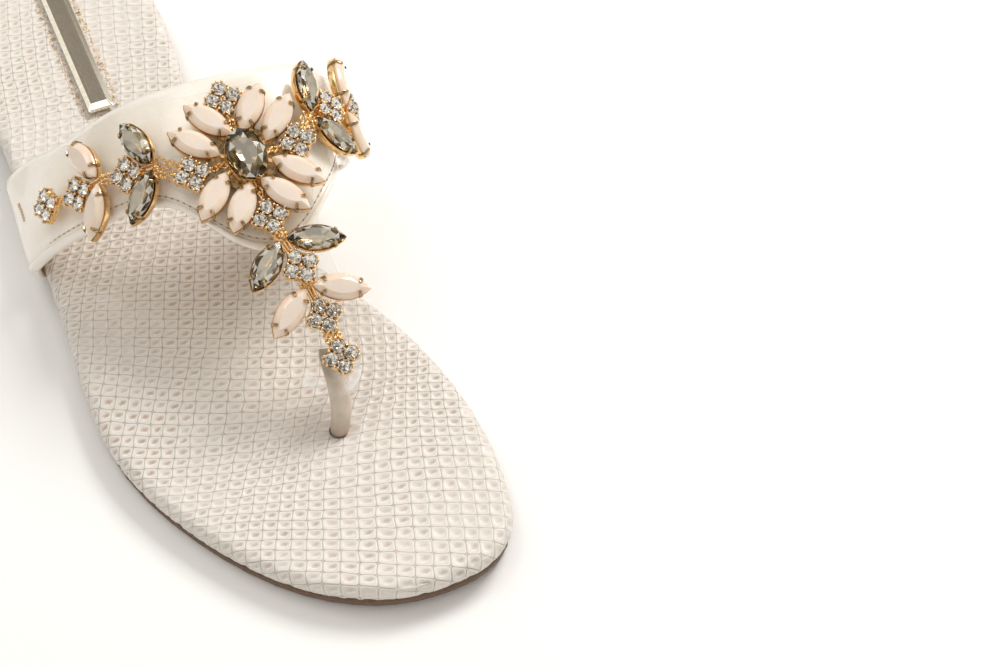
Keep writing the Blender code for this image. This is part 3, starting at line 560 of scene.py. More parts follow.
def leather_place(plan, radius=RIM):
    """Places and normals on the footbed for points of the leather laid flat.

    Inside the inner ring the leather lies on the footbed's face; beyond it, it rolls round the edge.
    """
    foot, gap, outside = nearest_on_ring(plan, INNER_RING)
    y = np.where(outside, foot[:, 1], plan[:, 1])
    left, right = edge_x(y, -1) + RIM, edge_x(y, 1) - RIM
    share = np.clip((plan[:, 0] - left) / np.maximum(right - left, 1.0), 0.0, 1.0)
    top = rim_top(y) - (RIM - radius)
    face = top - DISH * 4.0 * share * (1.0 - share) * smooth_step(gap, 0.0, 6.0)
    turn = np.minimum(gap / RIM, WRAP_END)
    away = (plan - foot) / np.maximum(gap, 1e-9)[:, None]
    out = np.where(outside, np.sin(turn), 0.0)
    place = np.empty((len(plan), 3))
    place[:, :2] = np.where(outside[:, None], foot + away * (radius * out)[:, None], plan)
    place[:, 2] = np.where(outside, top - radius * (1.0 - np.cos(turn)), face)
    normal = np.zeros((len(plan), 3))
    normal[:, :2] = away * out[:, None]
    normal[:, 2] = np.where(outside, np.cos(turn), 1.0)
    return place, normal, np.where(outside, gap / RIM, 0.0)


# ------------------------------------------------------------ embossed scales
SCALE_PLACE = np.array((10.0, -95.0))
SCALE_TURN = math.radians(-22.0)            # direction of a row
SCALE_PITCH = 3.4                           # along a row
SCALE_NODES = np.array((-1.0, -0.91, -0.74, -0.32, 0.32, 0.74, 0.91, 1.0))
# Profile of a scale: share of the way from its middle to its edge, height in mm.
SCALE_ROUND = 7.0               # superellipse power of its outline
SCALE_PROFILE = np.array((
    (0.00, -0.58), (0.30, -0.50), (0.55, -0.26), (0.74, -0.03), (0.84, 0.04), (0.91, 0.02),
    (0.97, -0.08), (1.00, -0.12), (1.15, -0.14)))
# Bends of the pattern at stops along a row (columns) and across the rows (rows), in mm from its
# middle: degrees by which a row rises, and by which a line across the rows leans to the left.
ALONG_STOPS = (-40.0, -15.0, 10.0, 35.0, 60.0)
ACROSS_STOPS = (-100.0, -86.0, -67.0, -48.0, -25.0, 0.0, 60.0)
ROW_PITCH = (2.9, 2.45, 2.8, 3.45, 3.2, 2.7, 2.8)    # at the same stops across
ROW_TILT = (
    (-8.0, -6.0, -3.0, -11.0, -8.0),
    (-4.0, 3.0, 8.0, -2.0, -8.0),
    (-8.0, -6.0, 6.0, 6.0, 0.0),
    (-10.0, -12.0, -4.0, 6.0, 4.0),
    (2.0, 2.0, -5.0, 3.0, 3.0),
    (9.0, 4.0, 1.0, 0.0, 0.0),
    (12.0, -4.0, -6.0, -4.0, -4.0),
)
COLUMN_LEAN = (
    (-6.0, -6.0, -4.0, -2.0, 3.0),
    (-12.0, -12.0, -9.0, 1.0, 4.0),
    (-10.0, -10.0, -10.0, -8.0, -1.0),
    (-7.0, -6.0, -6.0, -8.0, 0.0),
    (-2.0, 0.0, 0.0, -2.0, 0.0),
    (-12.0, -9.0, 1.0, 0.0, 0.0),
    (9.0, 4.0, 2.0, 0.0, 0.0),
)
BEND_GRID = np.arange(-150.0, 150.1, 2.0)
HEX_RISE = 0.13                 # zigzag of a row's edge where scales stand like bricks
WARP = (0.8, 55.0)              # slow bends of the rows: size and wavelength
# Places where the scales are smaller: x, y, reach in mm, and the shares taken off along and across
# the rows.
PINCHES = (
    (38.0, -153.0, 14.0, 0.27, 0.20),
    (7.0, -157.0, 9.0, 0.20, 0.0),
    (41.0, -177.0, 9.0, 0.0, 0.12),
    (2.0, -192.0, 12.0, 0.0, 0.15),
    (-24.0, -142.0, 14.0, 0.08, -0.12),
)
JITTER = (0.24, 6.5)            # uneven corners: size and wavelength
SCALE_REACH = 60                # scales on each side of the pattern's middle
# Where the dashes of tint and painted shade are fainter: axis of the place, start and end of the change,
# share taken off.
SPOT_FADES = ((1, -130.0, -165.0, 0.15), (1, -78.0, -55.0, 0.28), (0, 10.0, 40.0, 0.10))


def waves(places, size, length, seed, count=6):
    """Smooth seeded noise of two components, made of plane waves."""
    random = np.random.default_rng(seed)
    result = np.zeros((len(places), 2))
    for _ in range(count):
        turn, phase = random.uniform(0.0, 2.0 * math.pi, 2)
        pitch = length * random.uniform(0.75, 1.35)
        wave = np.sin(places @ aim(turn) * 2.0 * math.pi / pitch + phase)
        result += wave[:, None] * aim(random.uniform(0.0, 2.0 * math.pi))
    return result * size / math.sqrt(count)


def brick_share(places):
    """0 where the scales' columns run through, 0.5 where each row is shifted by half a scale."""
    return 0.5 * smooth_step(waves(places, 1.0, 60.0, SEED + 3)[:, 0], 1.15, 1.5)


def bend_slopes(table):
    """A table of degrees as slopes on the bend grid, along a row and then across, blended smoothly."""
    slopes = np.tan(np.radians(table))
    slopes = np.array([np.interp(BEND_GRID, ALONG_STOPS, row) for row in slopes])
    slopes = np.array([np.interp(BEND_GRID, ACROSS_STOPS, column) for column in slopes.T])
    blur = np.hanning(13)[1:-1] / np.hanning(13).sum()
    for _ in range(2):
        padded = np.pad(slopes, ((0, 0), (5, 5)), mode="edge")
        slopes = np.array([np.convolve(row, blur, mode="valid") for row in padded]).T
    return slopes


def bend_shift(slopes, axis):
    """Shift that adds up slopes along an axis of the bend grid from the pattern's middle."""
    shift = np.cumsum(slopes, axis=axis) * (BEND_GRID[1] - BEND_GRID[0])
    return shift - np.take(shift, [len(BEND_GRID) // 2], axis=axis)


ROW_SHIFT = bend_shift(bend_slopes(ROW_TILT), 0)
COLUMN_SHIFT = -bend_shift(bend_slopes(COLUMN_LEAN), 1)
ROW_COUNTS = np.cumsum(2.0 / np.interp(BEND_GRID, ACROSS_STOPS, ROW_PITCH))
ROW_COUNTS -= ROW_COUNTS[len(BEND_GRID) // 2]


def on_grid(grid, along, across):
    """Bilinear reading of a grid."""
    top = len(BEND_GRID) - 1.001
    x = np.clip((along - BEND_GRID[0]) / 2.0, 0.0, top)
    y = np.clip((across - BEND_GRID[0]) / 2.0, 0.0, top)
    i, j = x.astype(int), y.astype(int)
    x, y = x - i, y - j
    return (grid[i, j] * (1.0 - x) * (1.0 - y) + grid[i + 1, j] * x * (1.0 - y)
            + grid[i, j + 1] * (1.0 - x) * y + grid[i + 1, j + 1] * x * y)


def scale_map(a, b):
    """Flat place of lattice coordinates: a counts scales along a row, b counts rows."""
    side, rise = aim(SCALE_TURN), aim(SCALE_TURN + math.pi / 2.0)
    along = a * SCALE_PITCH
    across = np.interp(b, ROW_COUNTS, BEND_GRID)
    plain = (SCALE_PLACE + (along + on_grid(COLUMN_SHIFT, along, across))[:, None] * side
             + (across + on_grid(ROW_SHIFT, along, across))[:, None] * rise)
    for x, y, reach, off_along, off_across in PINCHES:
        apart = plain - (x, y)
        near = np.exp(-0.5 * (apart ** 2).sum(axis=1) / reach ** 2)[:, None]
        plain = plain - near * ((apart @ side)[:, None] * side * off_along
                                + (apart @ rise)[:, None] * rise * off_across)
    bent = plain + waves(plain, *WARP, SEED)
    return bent + waves(bent, *JITTER, SEED + 1, count=9)


def make_scales():
    """Embossed leather cover of the footbed: each scale is a small raised ring round a hollow."""
    numbers = np.arange(-SCALE_REACH, SCALE_REACH)
    b, a = (grid.ravel() for grid in np.meshgrid(numbers, numbers, indexing="ij"))
    middle = scale_map(a + 0.5, b + 0.5)
    _, gap, outside = nearest_on_ring(middle, INNER_RING)
    keep = ~outside | (gap < RIM * WRAP_END + 2.5)
    a, b, middle = a[keep], b[keep], middle[keep]
    brick = brick_share(middle)[:, None]
    s, t = (grid.ravel() for grid in np.meshgrid(SCALE_NODES, SCALE_NODES, indexing="ij"))
    nodes = len(s)
    # Dividers between the scales of a row, shifted in odd rows.
    shift = [brick_share(scale_map(a + k, b + 0.5)) * (b % 2) for k in (0.0, 1.0)]
    across = a[:, None] + shift[0][:, None] + (s + 1.0) / 2.0 * (1.0 + shift[1] - shift[0])[:, None]
    rise = []
    for line in (0, 1):
        odd = ((b + line) % 2)[:, None]
        wave = (np.cos(2.0 * math.pi * (across - odd * brick))
                - np.cos(2.0 * math.pi * (across - (1 - odd) * brick)))
        rise.append(HEX_RISE * brick * wave)
    v = (t + 1.0) / 2.0
    height = b[:, None] + v + rise[0] * (1.0 - v) + rise[1] * v
    plan = scale_map(across.ravel(), height.ravel())
    place, normal, wrap = leather_place(plan)
    share = (abs(s) ** SCALE_ROUND + abs(t) ** SCALE_ROUND) ** (1.0 / SCALE_ROUND)
    random = np.random.default_rng(SEED)
    deep = random.uniform(0.75, 1.2, len(a))
    relief = np.interp(share, *SCALE_PROFILE.T) * np.where(share < 0.7, deep[:, None], 1.0)
    place += normal * relief.ravel()[:, None]
    faces = repeat_faces(grid_faces(len(SCALE_NODES), len(SCALE_NODES)), len(a), nodes)
    turned_under = wrap >= WRAP_END - 0.01
    faces = faces[~turned_under[faces].all(axis=1)]
    from_post = np.hypot(*(place[:, :2] - HOLE_PLACE).T)
    place[:, 2] -= HOLE_DIP * (1.0 - smooth_step(from_post, POST_HOLE, POST_HOLE + 1.5))
    used = np.unique(faces)
    number = np.full(len(place), -1)
    number[used] = np.arange(len(used))
    item = mesh_object("footbed_scales", place[used], number[faces], "scales")
    # Each scale's dash of tint and painted shade: stronger near the rim, fainter where SPOT_FADES says.
    spot = random.uniform(0.3, 0.75, len(a)) + 0.25 * waves(middle, 1.0, 45.0, SEED + 5)[:, 0]
    for axis, start, end, share in SPOT_FADES:
        spot -= share * smooth_step(middle[:, axis], start, end)
    near_rim = ~outside[keep] & (gap[keep] < 5.0)
    spot += 0.2 * near_rim * random.uniform(0.0, 1.0, len(a))
    add_attribute(item, "across", np.tile(s, len(a))[used])
    add_attribute(item, "along", np.tile(t, len(a))[used])
    add_attribute(item, "spot", np.repeat(np.clip(spot, 0.1, 0.8), nodes)[used])
    add_attribute(item, "tint", np.repeat(random.uniform(0.0, 1.0, len(a)), nodes)[used])
    return item


POST_POINTS = node_points("toe_post")
POST_FOOT = POST_POINTS[POST_POINTS[:, 2] < POST_POINTS[:, 2].min() + 0.5]
HOLE_PLACE = POST_FOOT.mean(axis=0)[:2] + (-0.4, -0.1)
POST_HOLE = 2.4                 # radius of the slot that the toe post goes through
HOLE_DIP = 0.8                  # how far the leather sinks in it
SLOT_THICK = 0.6
SLOT_DEEP = 0.5
SLOT_POINTS = 32
BOARD_ROWS = 80
BOARD_ROUND = RIM - 0.75        # radius of the board's edge
BOARD_SHORT = 1.5               # how far it lies inside the footbed's ends
BOARD_NARROW = 1.2              # and inside its sides
BOARD_LOW = 0.3                 # and under the middle of its dished face


def make_board():
    """Plain inside of the footbed, a little smaller than its cover."""
    low, high = BED_RING[:, 1].min() + BOARD_SHORT, BED_RING[:, 1].max() - BOARD_SHORT
    turn = np.linspace(-math.pi / 2.0, math.pi / 2.0, 7)
    across = np.linspace(0.0, 1.0, 10)[1:-1]
    rows = []
    for y in 0.5 * (low + high) + 0.5 * (high - low) * np.cos(np.linspace(0.0, math.pi, BOARD_ROWS)):
        left, right = float(edge_x(y, -1)) + BOARD_NARROW, float(edge_x(y, 1)) - BOARD_NARROW
        small = min(BOARD_ROUND, 0.45 * (right - left))
        middle = float(rim_top(y)) - RIM
        top = middle + small - (DISH + BOARD_LOW) * 4.0 * across * (1.0 - across)
        start, flat = left + small, right - left - 2.0 * small
        x = np.concatenate((start + flat + small * np.cos(turn), start + flat * (1.0 - across),
                            start - small * np.cos(turn[::-1]), start + flat * across))
        z = np.concatenate((middle + small * np.sin(turn), top, middle + small * np.sin(turn[::-1]),
                            np.full(len(across), middle - small)))
        rows.append(np.column_stack((x, np.full(len(x), y), z)))
    points = np.concatenate(rows)
    item = mesh_object("footbed_board", points, loft_faces(len(rows), len(rows[0])), "scales")
    for name in ("across", "along", "spot", "tint"):
        add_attribute(item, name, np.zeros(len(points)))
    return item


def make_post_slot_shadow():
    """Painted shadow: a dark disc at the bottom of the slot where the toe post goes through the leather."""
    top = np.repeat(leather_place(HOLE_PLACE[None])[0] - (0.0, 0.0, SLOT_DEEP), SLOT_POINTS, axis=0)
    top[:, :2] += POST_HOLE * aim(circle(SLOT_POINTS))
    points = np.concatenate((top, top - (0.0, 0.0, SLOT_THICK)))
    return mesh_object("post_slot_shadow", points, loft_faces(2, SLOT_POINTS), "slot")


# ------------------------------------------------------------ name plate
PLATE_CORNER = 0.7
PLATE_POINTS = 8                # points of a corner
BEVEL = 1.35                    # width of the plate's bright bevel
BEVEL_END = 1.1                 # how much wider it is at the front end
# Levels of the plate: how far inside the outline, share of its height, finish of the band below it.
PLATE_LEVELS = ((0.0, 0.0, 0), (0.0, 0.62, 0), (0.12, 0.72, 0), (BEVEL, 1.05, 0), (1.5, 1.08, 1),
                (2.0, 1.06, 1))
FRONT_BEVEL = (2, -1)           # its face: number of the band, and of the face in it
FLECKS = 420
FLECK_LINE = 1.0                # the foil border's distance from the plate
FLECK_OUT = (-0.3, 1.0)         # how far its flecks lie outside of that


def plate_frame():
    """The plate's middle, its axes, half lengths, and half widths at its rear and front."""
    points = node_points("name_plate")
    centre = points.mean(axis=0)
    run = np.linalg.svd(points - centre)[2][0]
    run = run * math.copysign(1.0, -run[1])
    side = unit(np.cross(run, (0.0, 0.0, 1.0)))
    up = np.cross(side, run)
    along, across, height = (points - centre) @ run, (points - centre) @ side, (points - centre) @ up
    half = np.ptp(along) / 2.0
    widths = [np.ptp(across[end * along > 0.9 * half]) / 2.0 for end in (-1.0, 1.0)]
    return centre + up * height.min(), run, side, up, half, widths, np.ptp(height)


def plate_outline(grow, corner):
    """The plate's outline in its own plane, grown outwards; its corners are arcs."""
    half, widths = plate_frame()[4:6]
    points = []
    for number, (end, hand) in enumerate(((1.0, 1.0), (-1.0, 1.0), (-1.0, -1.0), (1.0, -1.0))):
        width = widths[1] if end > 0.0 else widths[0]
        middle = (hand * (width + grow - corner), end * (half + grow - corner))
        turn = math.pi / 2.0 * (1.0 - number) - np.linspace(0.0, math.pi / 2.0, PLATE_POINTS)
        points.append(middle + corner * aim(turn))
    return np.concatenate(points)


def make_plate():
    """Bare metal plate with a bright bevel."""
    foot, run, side, up, _, _, height = plate_frame()
    rings = []
    for inside, share, _ in PLATE_LEVELS:
        flat = plate_outline(-inside, max(PLATE_CORNER - 0.5 * inside, 0.2))
        flat[flat[:, 1] > 0.0, 1] -= BEVEL_END * min(inside / BEVEL, 1.0)
        rings.append(foot + flat[:, :1] * side + flat[:, 1:] * run + up * height * share)
    count = len(rings[0])
    kinds = np.repeat([[kind] for _, _, kind in PLATE_LEVELS[1:]], count, axis=1)
    kinds[FRONT_BEVEL] = 2
    item = mesh_object("name_plate_skin", np.concatenate(rings), loft_faces(len(rings), count),
                       "bevel", "plate", "bevel_end", kinds=kinds.ravel().tolist() + [0, 1])
    item.data.set_sharp_from_angle(angle=math.radians(18))
    return item


def make_plate_border():
    """Line of worn gold foil flecks on the leather round the plate."""
    random = np.random.default_rng(SEED + 9)
    foot, run, side = plate_frame()[:3]
    ring = plate_outline(FLECK_LINE, 1.4)
    loop = np.concatenate((ring, ring[:1]))
    lengths = lengths_along(loop)
    stops = np.sort(random.uniform(0.0, lengths[-1], FLECKS))
    flat = read_path(loop, lengths, stops)
    ahead = read_path(loop, lengths, stops + 0.1) - flat
    outward = unit(np.column_stack((-ahead[:, 1], ahead[:, 0])))
    spread = random.uniform(*FLECK_OUT, FLECKS) + 0.25 * np.sin(stops * 2.2)
    flat = flat + outward * spread[:, None]
    place = leather_place((foot + flat[:, :1] * side + flat[:, 1:] * run)[:, :2])[0]
    heading = np.zeros((FLECKS, 3))
    heading[:, :2] = aim(random.uniform(0.0, math.pi, FLECKS))
    points, faces = capsules(place, heading, (0.0, 0.0, 1.0), random.uniform(0.35, 0.9, FLECKS)[:, None],
                             0.16, squash=0.7)
    return mesh_object("plate_border", points, faces, "glitter")


# ------------------------------------------------------------ strap
# The strap's two edges, a row for each section of its free run, as the part's source has them.
STRAP = (
    # rear x, along, z,          front x, along, z
    (-26.0, 83.0, 16.0,          -34.6, 114.4, 12.0),
    (-20.6, 88.4, 23.6,          -29.6, 116.8, 18.6),
    (-13.6, 94.6, 33.0,          -21.4, 121.4, 27.2),
    (-5.0, 100.2, 43.0,          -9.4, 127.6, 36.4),
    (1.6, 102.8, 47.4,           -2.0, 133.0, 40.4),
    (8.0, 105.2, 50.2,           4.6, 143.2, 41.6),
    (14.4, 107.4, 52.2,          11.0, 151.4, 39.4),
    (20.6, 109.0, 53.2,          18.6, 155.2, 37.2),
    (27.4, 110.2, 53.4,          26.0, 154.2, 37.6),
    (34.6, 110.9, 52.4,          34.4, 148.2, 39.4),
    (43.6, 111.0, 49.0,          41.2, 140.2, 38.0),
    (49.6, 109.4, 42.6,          44.8, 132.8, 32.8),
    (53.8, 105.0, 33.0,          49.4, 127.8, 25.4),
    (47.2, 99.6, 21.8,           43.8, 122.4, 16.4),
    (37.4, 96.0, 13.0,           35.6, 119.2, 10.6),
)
LATERAL_TUCK = (82.5, 113.5)
MEDIAL_TUCK = (94.0, 118.0)
TUCK_REACH = 11.0
TUCK_THICK = 1.3
STRAP_THICK = 2.2
GAP = 0.3
STRAP_CROWN = 0.022
STRAP_STATIONS = 260
FACE_COLUMNS = 18
ROLL_WIDE = 1.2                 # half width of the rolled front edge
ROLL_LIFT = 0.32                # its top over the strap's face
ROLL_MIDDLE = 0.55              # its middle, behind the strap's front edge
SEAM_BACK = 2.55                # the seam's distance behind the front edge
EDGE_BULGE = 0.7                # rounding of the rear edge
FACE_END = 3.6                  # where the plain face ends, behind the front edge
LINING_IN = 1.2                 # the lining's distance inside both edges
LINING_START = -40              # degrees round the rolled edge where it starts


def tuck_rows(span, side):
    """Sections of a strap end, from under the footbed to the wall outside its edge."""
    outside = STRAP_THICK + 2.0 * GAP
    rows = []
    for out, up in ((-TUCK_REACH, 0.0), (-TUCK_REACH / 2.0, 0.0), (-RIM, 0.0),
                    (0.5 * outside, 0.3 * RIM), (outside, 1.4 * RIM)):
        ends = [(float(edge_x(HEEL_CENTRE - along, side)) + side * out, along,
                 float(rim_top(HEEL_CENTRE - along)) - FOOTBED_THICK + up) for along in span]
        rows.append(ends[0] + ends[1])
    return rows


KNOTS = np.array(tuck_rows(LATERAL_TUCK, -1) + list(STRAP) + tuck_rows(MEDIAL_TUCK, 1)[::-1])
KNOTS[:, (1, 4)] = HEEL_CENTRE - KNOTS[:, (1, 4)]


def free_share(run, start, end):
    """0 at the strap's tucked ends and 1 over its free part."""
    return smooth_step(run, start, end) * smooth_step(1.0 - run, start, end)


def strap_face(run, across):
    """The strap's outer face: rows for the shares of its run, columns for the shares of its width."""
    across = np.asarray(across, dtype=float)
    both = spline(KNOTS, run)
    rear, front = both[:, None, :3], both[:, None, 3:]
    chord = front - rear
    step = spline(KNOTS, np.minimum(run + 0.01, 1.0)) - spline(KNOTS, np.maximum(run - 0.01, 0.0))
    outward = unit(np.cross(chord[:, 0], step[:, :3] + step[:, 3:]))[:, None]
    across = np.broadcast_to(across, (len(run), across.shape[-1]))[..., None]
    bow = 4.0 * across * (1.0 - across) * free_share(run, 0.10, 0.2)[:, None, None] * STRAP_CROWN
    return rear + chord * across + outward * bow * np.linalg.norm(chord, axis=2, keepdims=True)


def strap_normal(run, across):
    d = 0.004
    along = strap_face(np.minimum(run + d, 1.0), across) - strap_face(np.maximum(run - d, 0.0), across)
    wide = strap_face(run, across + d) - strap_face(run, across - d)
    return unit(np.cross(wide, along))


def strap_width(run):
    both = spline(KNOTS, run)
    return np.linalg.norm(both[:, 3:] - both[:, :3], axis=1)


def strap_thickness(run):
    return TUCK_THICK + (STRAP_THICK - TUCK_THICK) * free_share(run, 0.06, 0.13)


def strap_place(run, back, lift):
    """Places on the strap: back is the distance behind the front edge, lift the height over the face."""
    across = 1.0 - back / strap_width(run)[:, None]
    return strap_face(run, across) + strap_normal(run, across) * np.asarray(lift)[..., None]


# Creases: run and width share of the middle, length and width in mm, heading, depth in mm.
CREASES = (
    (0.700, 0.80, 13.0, 1.6, 62.0, -0.28),
    (0.735, 0.62, 10.0, 1.4, 75.0, -0.20),
    (0.245, 0.20, 9.0, 1.8, 80.0, -0.16),
    (0.420, 0.93, 9.0, 1.4, 20.0, -0.14),
    (0.585, 0.90, 10.0, 1.4, 160.0, -0.16),
)
# Where the strap swells: run and width share of the middle, reach along and across in mm, lift in mm.
PUFFS = ((0.110, 0.66, 9.0, 11.0, 1.3),)
STRAP_RUN = 192.7               # length of the strap along its middle


def crease_depth(run, back):
    """Soft troughs with a low ridge on each side."""
    width = strap_width(run)[:, None]
    total = np.zeros_like(back)
    for place, share, length, wide, heading, depth in CREASES:
        x = (run[:, None] - place) * STRAP_RUN
        y = back - (1.0 - share) * width
        c, s = aim(math.radians(heading))
        along, off = (x * c + y * s) / length, (-x * s + y * c) / wide
        total += depth * np.exp(-along ** 2 * 2.0) * (1.0 - off ** 2) * np.exp(-0.5 * off ** 2)
    for place, share, long, wide, lift in PUFFS:
        x = (run[:, None] - place) * STRAP_RUN / long
        y = (back - (1.0 - share) * width) / wide
        total += lift * np.exp(-x ** 2 - y ** 2)
    return total


def make_strap():
    """The hollow strap: patent face, rolled and stitched front edge, and lining inside."""
    run = np.linspace(0.0, 1.0, STRAP_STATIONS)
    width = strap_width(run)[:, None]
    thick = strap_thickness(run)[:, None]
    free = free_share(run, 0.05, 0.11)[:, None]
    columns = []
    kinds = []

    def column(back, lift, kind):
        columns.append((np.broadcast_to(back, width.shape), np.broadcast_to(lift, width.shape)))
        kinds.append(kind)

    for k in range(FACE_COLUMNS):
        share = k / (FACE_COLUMNS - 1)
        column(width * (1.0 - share) + FACE_END * share, 0.0, 0)
    for back, lift in ((3.1, -0.03), (2.8, -0.12), (SEAM_BACK, -0.20), (2.3, -0.19), (2.0, -0.05)):
        column(back, lift * free, 0)
    middle = (ROLL_LIFT - STRAP_THICK) / 2.0
    half = (ROLL_LIFT + STRAP_THICK) / 2.0
    for degrees in range(150, -93, -22):
        c, s = aim(math.radians(degrees))
        lift = (middle + half * s) * free + (s - 1.0) / 2.0 * thick * (1.0 - free)
        column(ROLL_MIDDLE - ROLL_WIDE * c * (0.4 + 0.6 * free), lift,
               0 if degrees > LINING_START else 1)
    for k in range(FACE_COLUMNS):
        share = (k + 1) / FACE_COLUMNS
        column(LINING_IN + (width - 2.0 * LINING_IN) * share, -thick, 1)
    for degrees in (-70, -45, -20, 0, 20, 45, 70):
        c, s = aim(math.radians(degrees))
        column(width + EDGE_BULGE * c * free - 0.2, (s - 1.0) / 2.0 * thick, 0)
    back, lift = (np.concatenate(part, axis=1) for part in zip(*columns))
    lift = lift + crease_depth(run, back) * free * (lift > -0.5)
    points = strap_place(run, back, lift).reshape(-1, 3)
    return mesh_object("strap_skin", points, loft_faces(len(run), len(kinds)), "patent", "lining",
                       kinds=kinds * (len(run) - 1) + [1, 1])


# Two ends on the strap (run, width share), number of threads, and a thread's length and radius.
BAR_TACK = ((0.104, 0.34), (0.116, 0.56), 13, 1.1, 0.13)
STITCH_PITCH = 1.9
STITCH_LENGTH = 1.35
THREAD = 0.16                   # radius
NEEDLE_HOLE = (0.85, 0.20)      # length and radius of the mark between two stitches
SEAM_LIFT = -0.12               # the threads' middle over the strap's face


def capsules(places, headings, ups, length, radius, sides=6, squash=1.0):
    """Short rounded rods, all in one mesh: points and faces."""
    profile = ((-0.5, 0.0), (-0.47, 0.55), (-0.38, 0.9), (0.0, 1.0), (0.38, 0.9), (0.47, 0.55), (0.5, 0.0))
    across = unit(np.cross(headings, ups))
    lifts = np.cross(across, headings)
    rings = []
    for along, wide in profile:
        for turn in circle(sides):
            rings.append(headings * along * length + across * math.cos(turn) * wide * radius
                         + lifts * math.sin(turn) * wide * radius * squash)
    points = (places[:, None] + np.stack(rings, axis=1)).reshape(-1, 3)
    cell = grid_faces(len(profile), sides, closed=True)
    return points, repeat_faces(cell, len(places), len(profile) * sides)


def make_bar_tack():
    """Zigzag of thread that holds the strap at its outer end."""
    first, last, count, length, radius = BAR_TACK
    run, across = np.linspace(first, last, count).T
    place = strap_face(run, across[:, None])[:, 0]
    normal = strap_normal(run, across[:, None])[:, 0]
    ahead = unit(np.gradient(place, axis=0))
    side = np.cross(normal, ahead)
    lean = np.where(np.arange(count) % 2 == 0, 0.5, -0.5)[:, None]
    lift = 0.1 + crease_depth(run, ((1.0 - across) * strap_width(run))[:, None])
    points, faces = capsules(place + normal * lift, unit(side + ahead * lean), normal, length, radius)
    return mesh_object("bar_tack", points, faces, "tack")


def make_stitches():
    """Seam behind the strap's rolled edge: threads, and dark marks between them that are painted shade in
    the needle holes.
    """
    back = np.array([SEAM_BACK - 0.1])
    run = np.linspace(0.075, 0.925, 1200)
    path = strap_place(run, back, SEAM_LIFT)[:, 0]
    lengths = lengths_along(path)
    pieces = []
    for first, long, thick in ((0.5, STITCH_LENGTH, THREAD), (0.5 + STITCH_PITCH / 2.0, *NEEDLE_HOLE)):
        shares = np.interp(np.arange(first, lengths[-1] - 0.5, STITCH_PITCH), lengths, run)
        place = strap_place(shares, back, SEAM_LIFT)[:, 0]
        ahead = strap_place(shares + 0.002, back, SEAM_LIFT)[:, 0]
        pieces.append(capsules(place, unit(ahead - place), strap_normal(shares, np.array([0.95]))[:, 0],
                               long, thick))
    (threads, thread_faces), (marks, mark_faces) = pieces
    kinds = [0] * len(thread_faces) + [1] * len(mark_faces)
    return mesh_object("strap_stitches", np.concatenate((threads, marks)),
                       np.concatenate((thread_faces, mark_faces + len(threads))),
                       "thread", "needle_hole_shade", kinds=kinds)


# ------------------------------------------------------------ ornament
OPAL_POINTS = 40
CRYSTAL_POINTS = 12
# Finishes of a smoke stone's crown facets in turn: tinted, pale as a painted reflection, and dark as
# painted shade.
SHADES = (0, 4, 4, 3, 0, 3, 0, 4, 3, 0, 4, 0, 3, 3, 0, 4, 3)
FLOWER_SHADES = (4, 4, 0, 4, 4, 3, 4, 0, 4, 4, 0, 4, 3, 4, 4, 0, 4)
BRILLIANT_POINTS = 8
BRILLIANT_OUT = 2.62            # a brilliant's middle from the middle of its square
BRILLIANT = 1.86                # radius
# Brilliants' crown facets in turn: 2 is a pale facet painted as a reflection.
BRILLIANT_SHADES = (0, 2, 0, 0, 2, 0, 0, 0, 2, 0, 0)
WIRE = 0.32                     # radius of a wire
# Levels of the stones from the foot up: height, scale across and along, and twist in facets.
OPAL_LEVELS = ((0.15, 0.80, 0.84, 0.0), (0.9, 0.95, 0.96, 0.0), (1.35, 1.0, 1.0, 0.0),
               (1.65, 1.0, 1.0, 0.0), (2.05, 0.945, 0.955, 0.0), (2.6, 0.77, 0.83, 0.0),
               (3.02, 0.54, 0.68, 0.0))
CRYSTAL_LEVELS = ((0.10, 0.20, 0.45, 0.0), (0.80, 0.84, 0.88, 0.5), (1.45, 1.0, 1.0, 0.0),
                  (1.70, 1.0, 1.0, 0.0), (2.40, 0.84, 0.88, 0.5), (2.95, 0.58, 0.66, 0.0))
FLOWER_LEVELS = CRYSTAL_LEVELS[:-2] + ((2.30, 0.80, 0.80, 0.5), (2.95, 0.52, 0.54, 0.0))
BRILLIANT_LEVELS = ((0.12, 0.06, 0.06, 0.0), (0.62, 0.58, 0.58, 0.5), (1.25, 1.0, 1.0, 0.0),
                    (1.40, 1.0, 1.0, 0.0), (1.95, 0.80, 0.80, 0.5), (2.40, 0.48, 0.48, 0.0))


class Seat:
    """A stone's own axes, read from its solid: origin in the middle of its foot, y its long way."""

    def __init__(self, name):
        points = np.unique(node_points(name).round(3), axis=0)
        centre = points.mean(axis=0)
        axes = np.linalg.svd(points - centre)[2]
        y, z = axes[0], axes[2]
        height = (points - centre) @ z
        spread = np.linalg.norm(points - centre - height[:, None] * z, axis=1)
        if spread[height > 0.0].mean() > spread[height < 0.0].mean():
            z, height = -z, -height
        if "square" in name:
            corner = points[np.argmax(spread)] - centre
            y = unit(corner - (corner @ z) * z)
        self.name = name
        self.x, self.y, self.z = np.cross(y, z), y, z
        self.origin = centre + z * height.min()
        self.width = np.ptp((points - centre) @ self.x)
        self.length = np.ptp((points - centre) @ y)

    def place(self, local):
        local = np.asarray(local, dtype=float)
        return self.origin + local @ np.stack((self.x, self.y, self.z))


def marquise(length, width):
    """Outline of two arcs: its x and y for shares of the way round, starting at the tip."""
    half, rise = length / 2.0, width / 2.0
    radius = (half * half + rise * rise) / (2.0 * rise)
    sweep = math.asin(half / radius)

    def outline(share):
        share = np.asarray(share) % 1.0
        side = np.where(share < 0.5, 1.0, -1.0)
        turn = sweep * (1.0 - 4.0 * (share % 0.5))
        return np.stack((side * (radius * np.cos(turn) - radius + rise), side * radius * np.sin(turn)), -1)
    return outline


def oval(length, width):
    def outline(share):
        turn = 2.0 * math.pi * np.asarray(share)
        return np.stack((width / 2.0 * np.sin(turn), length / 2.0 * np.cos(turn)), -1)
    return outline


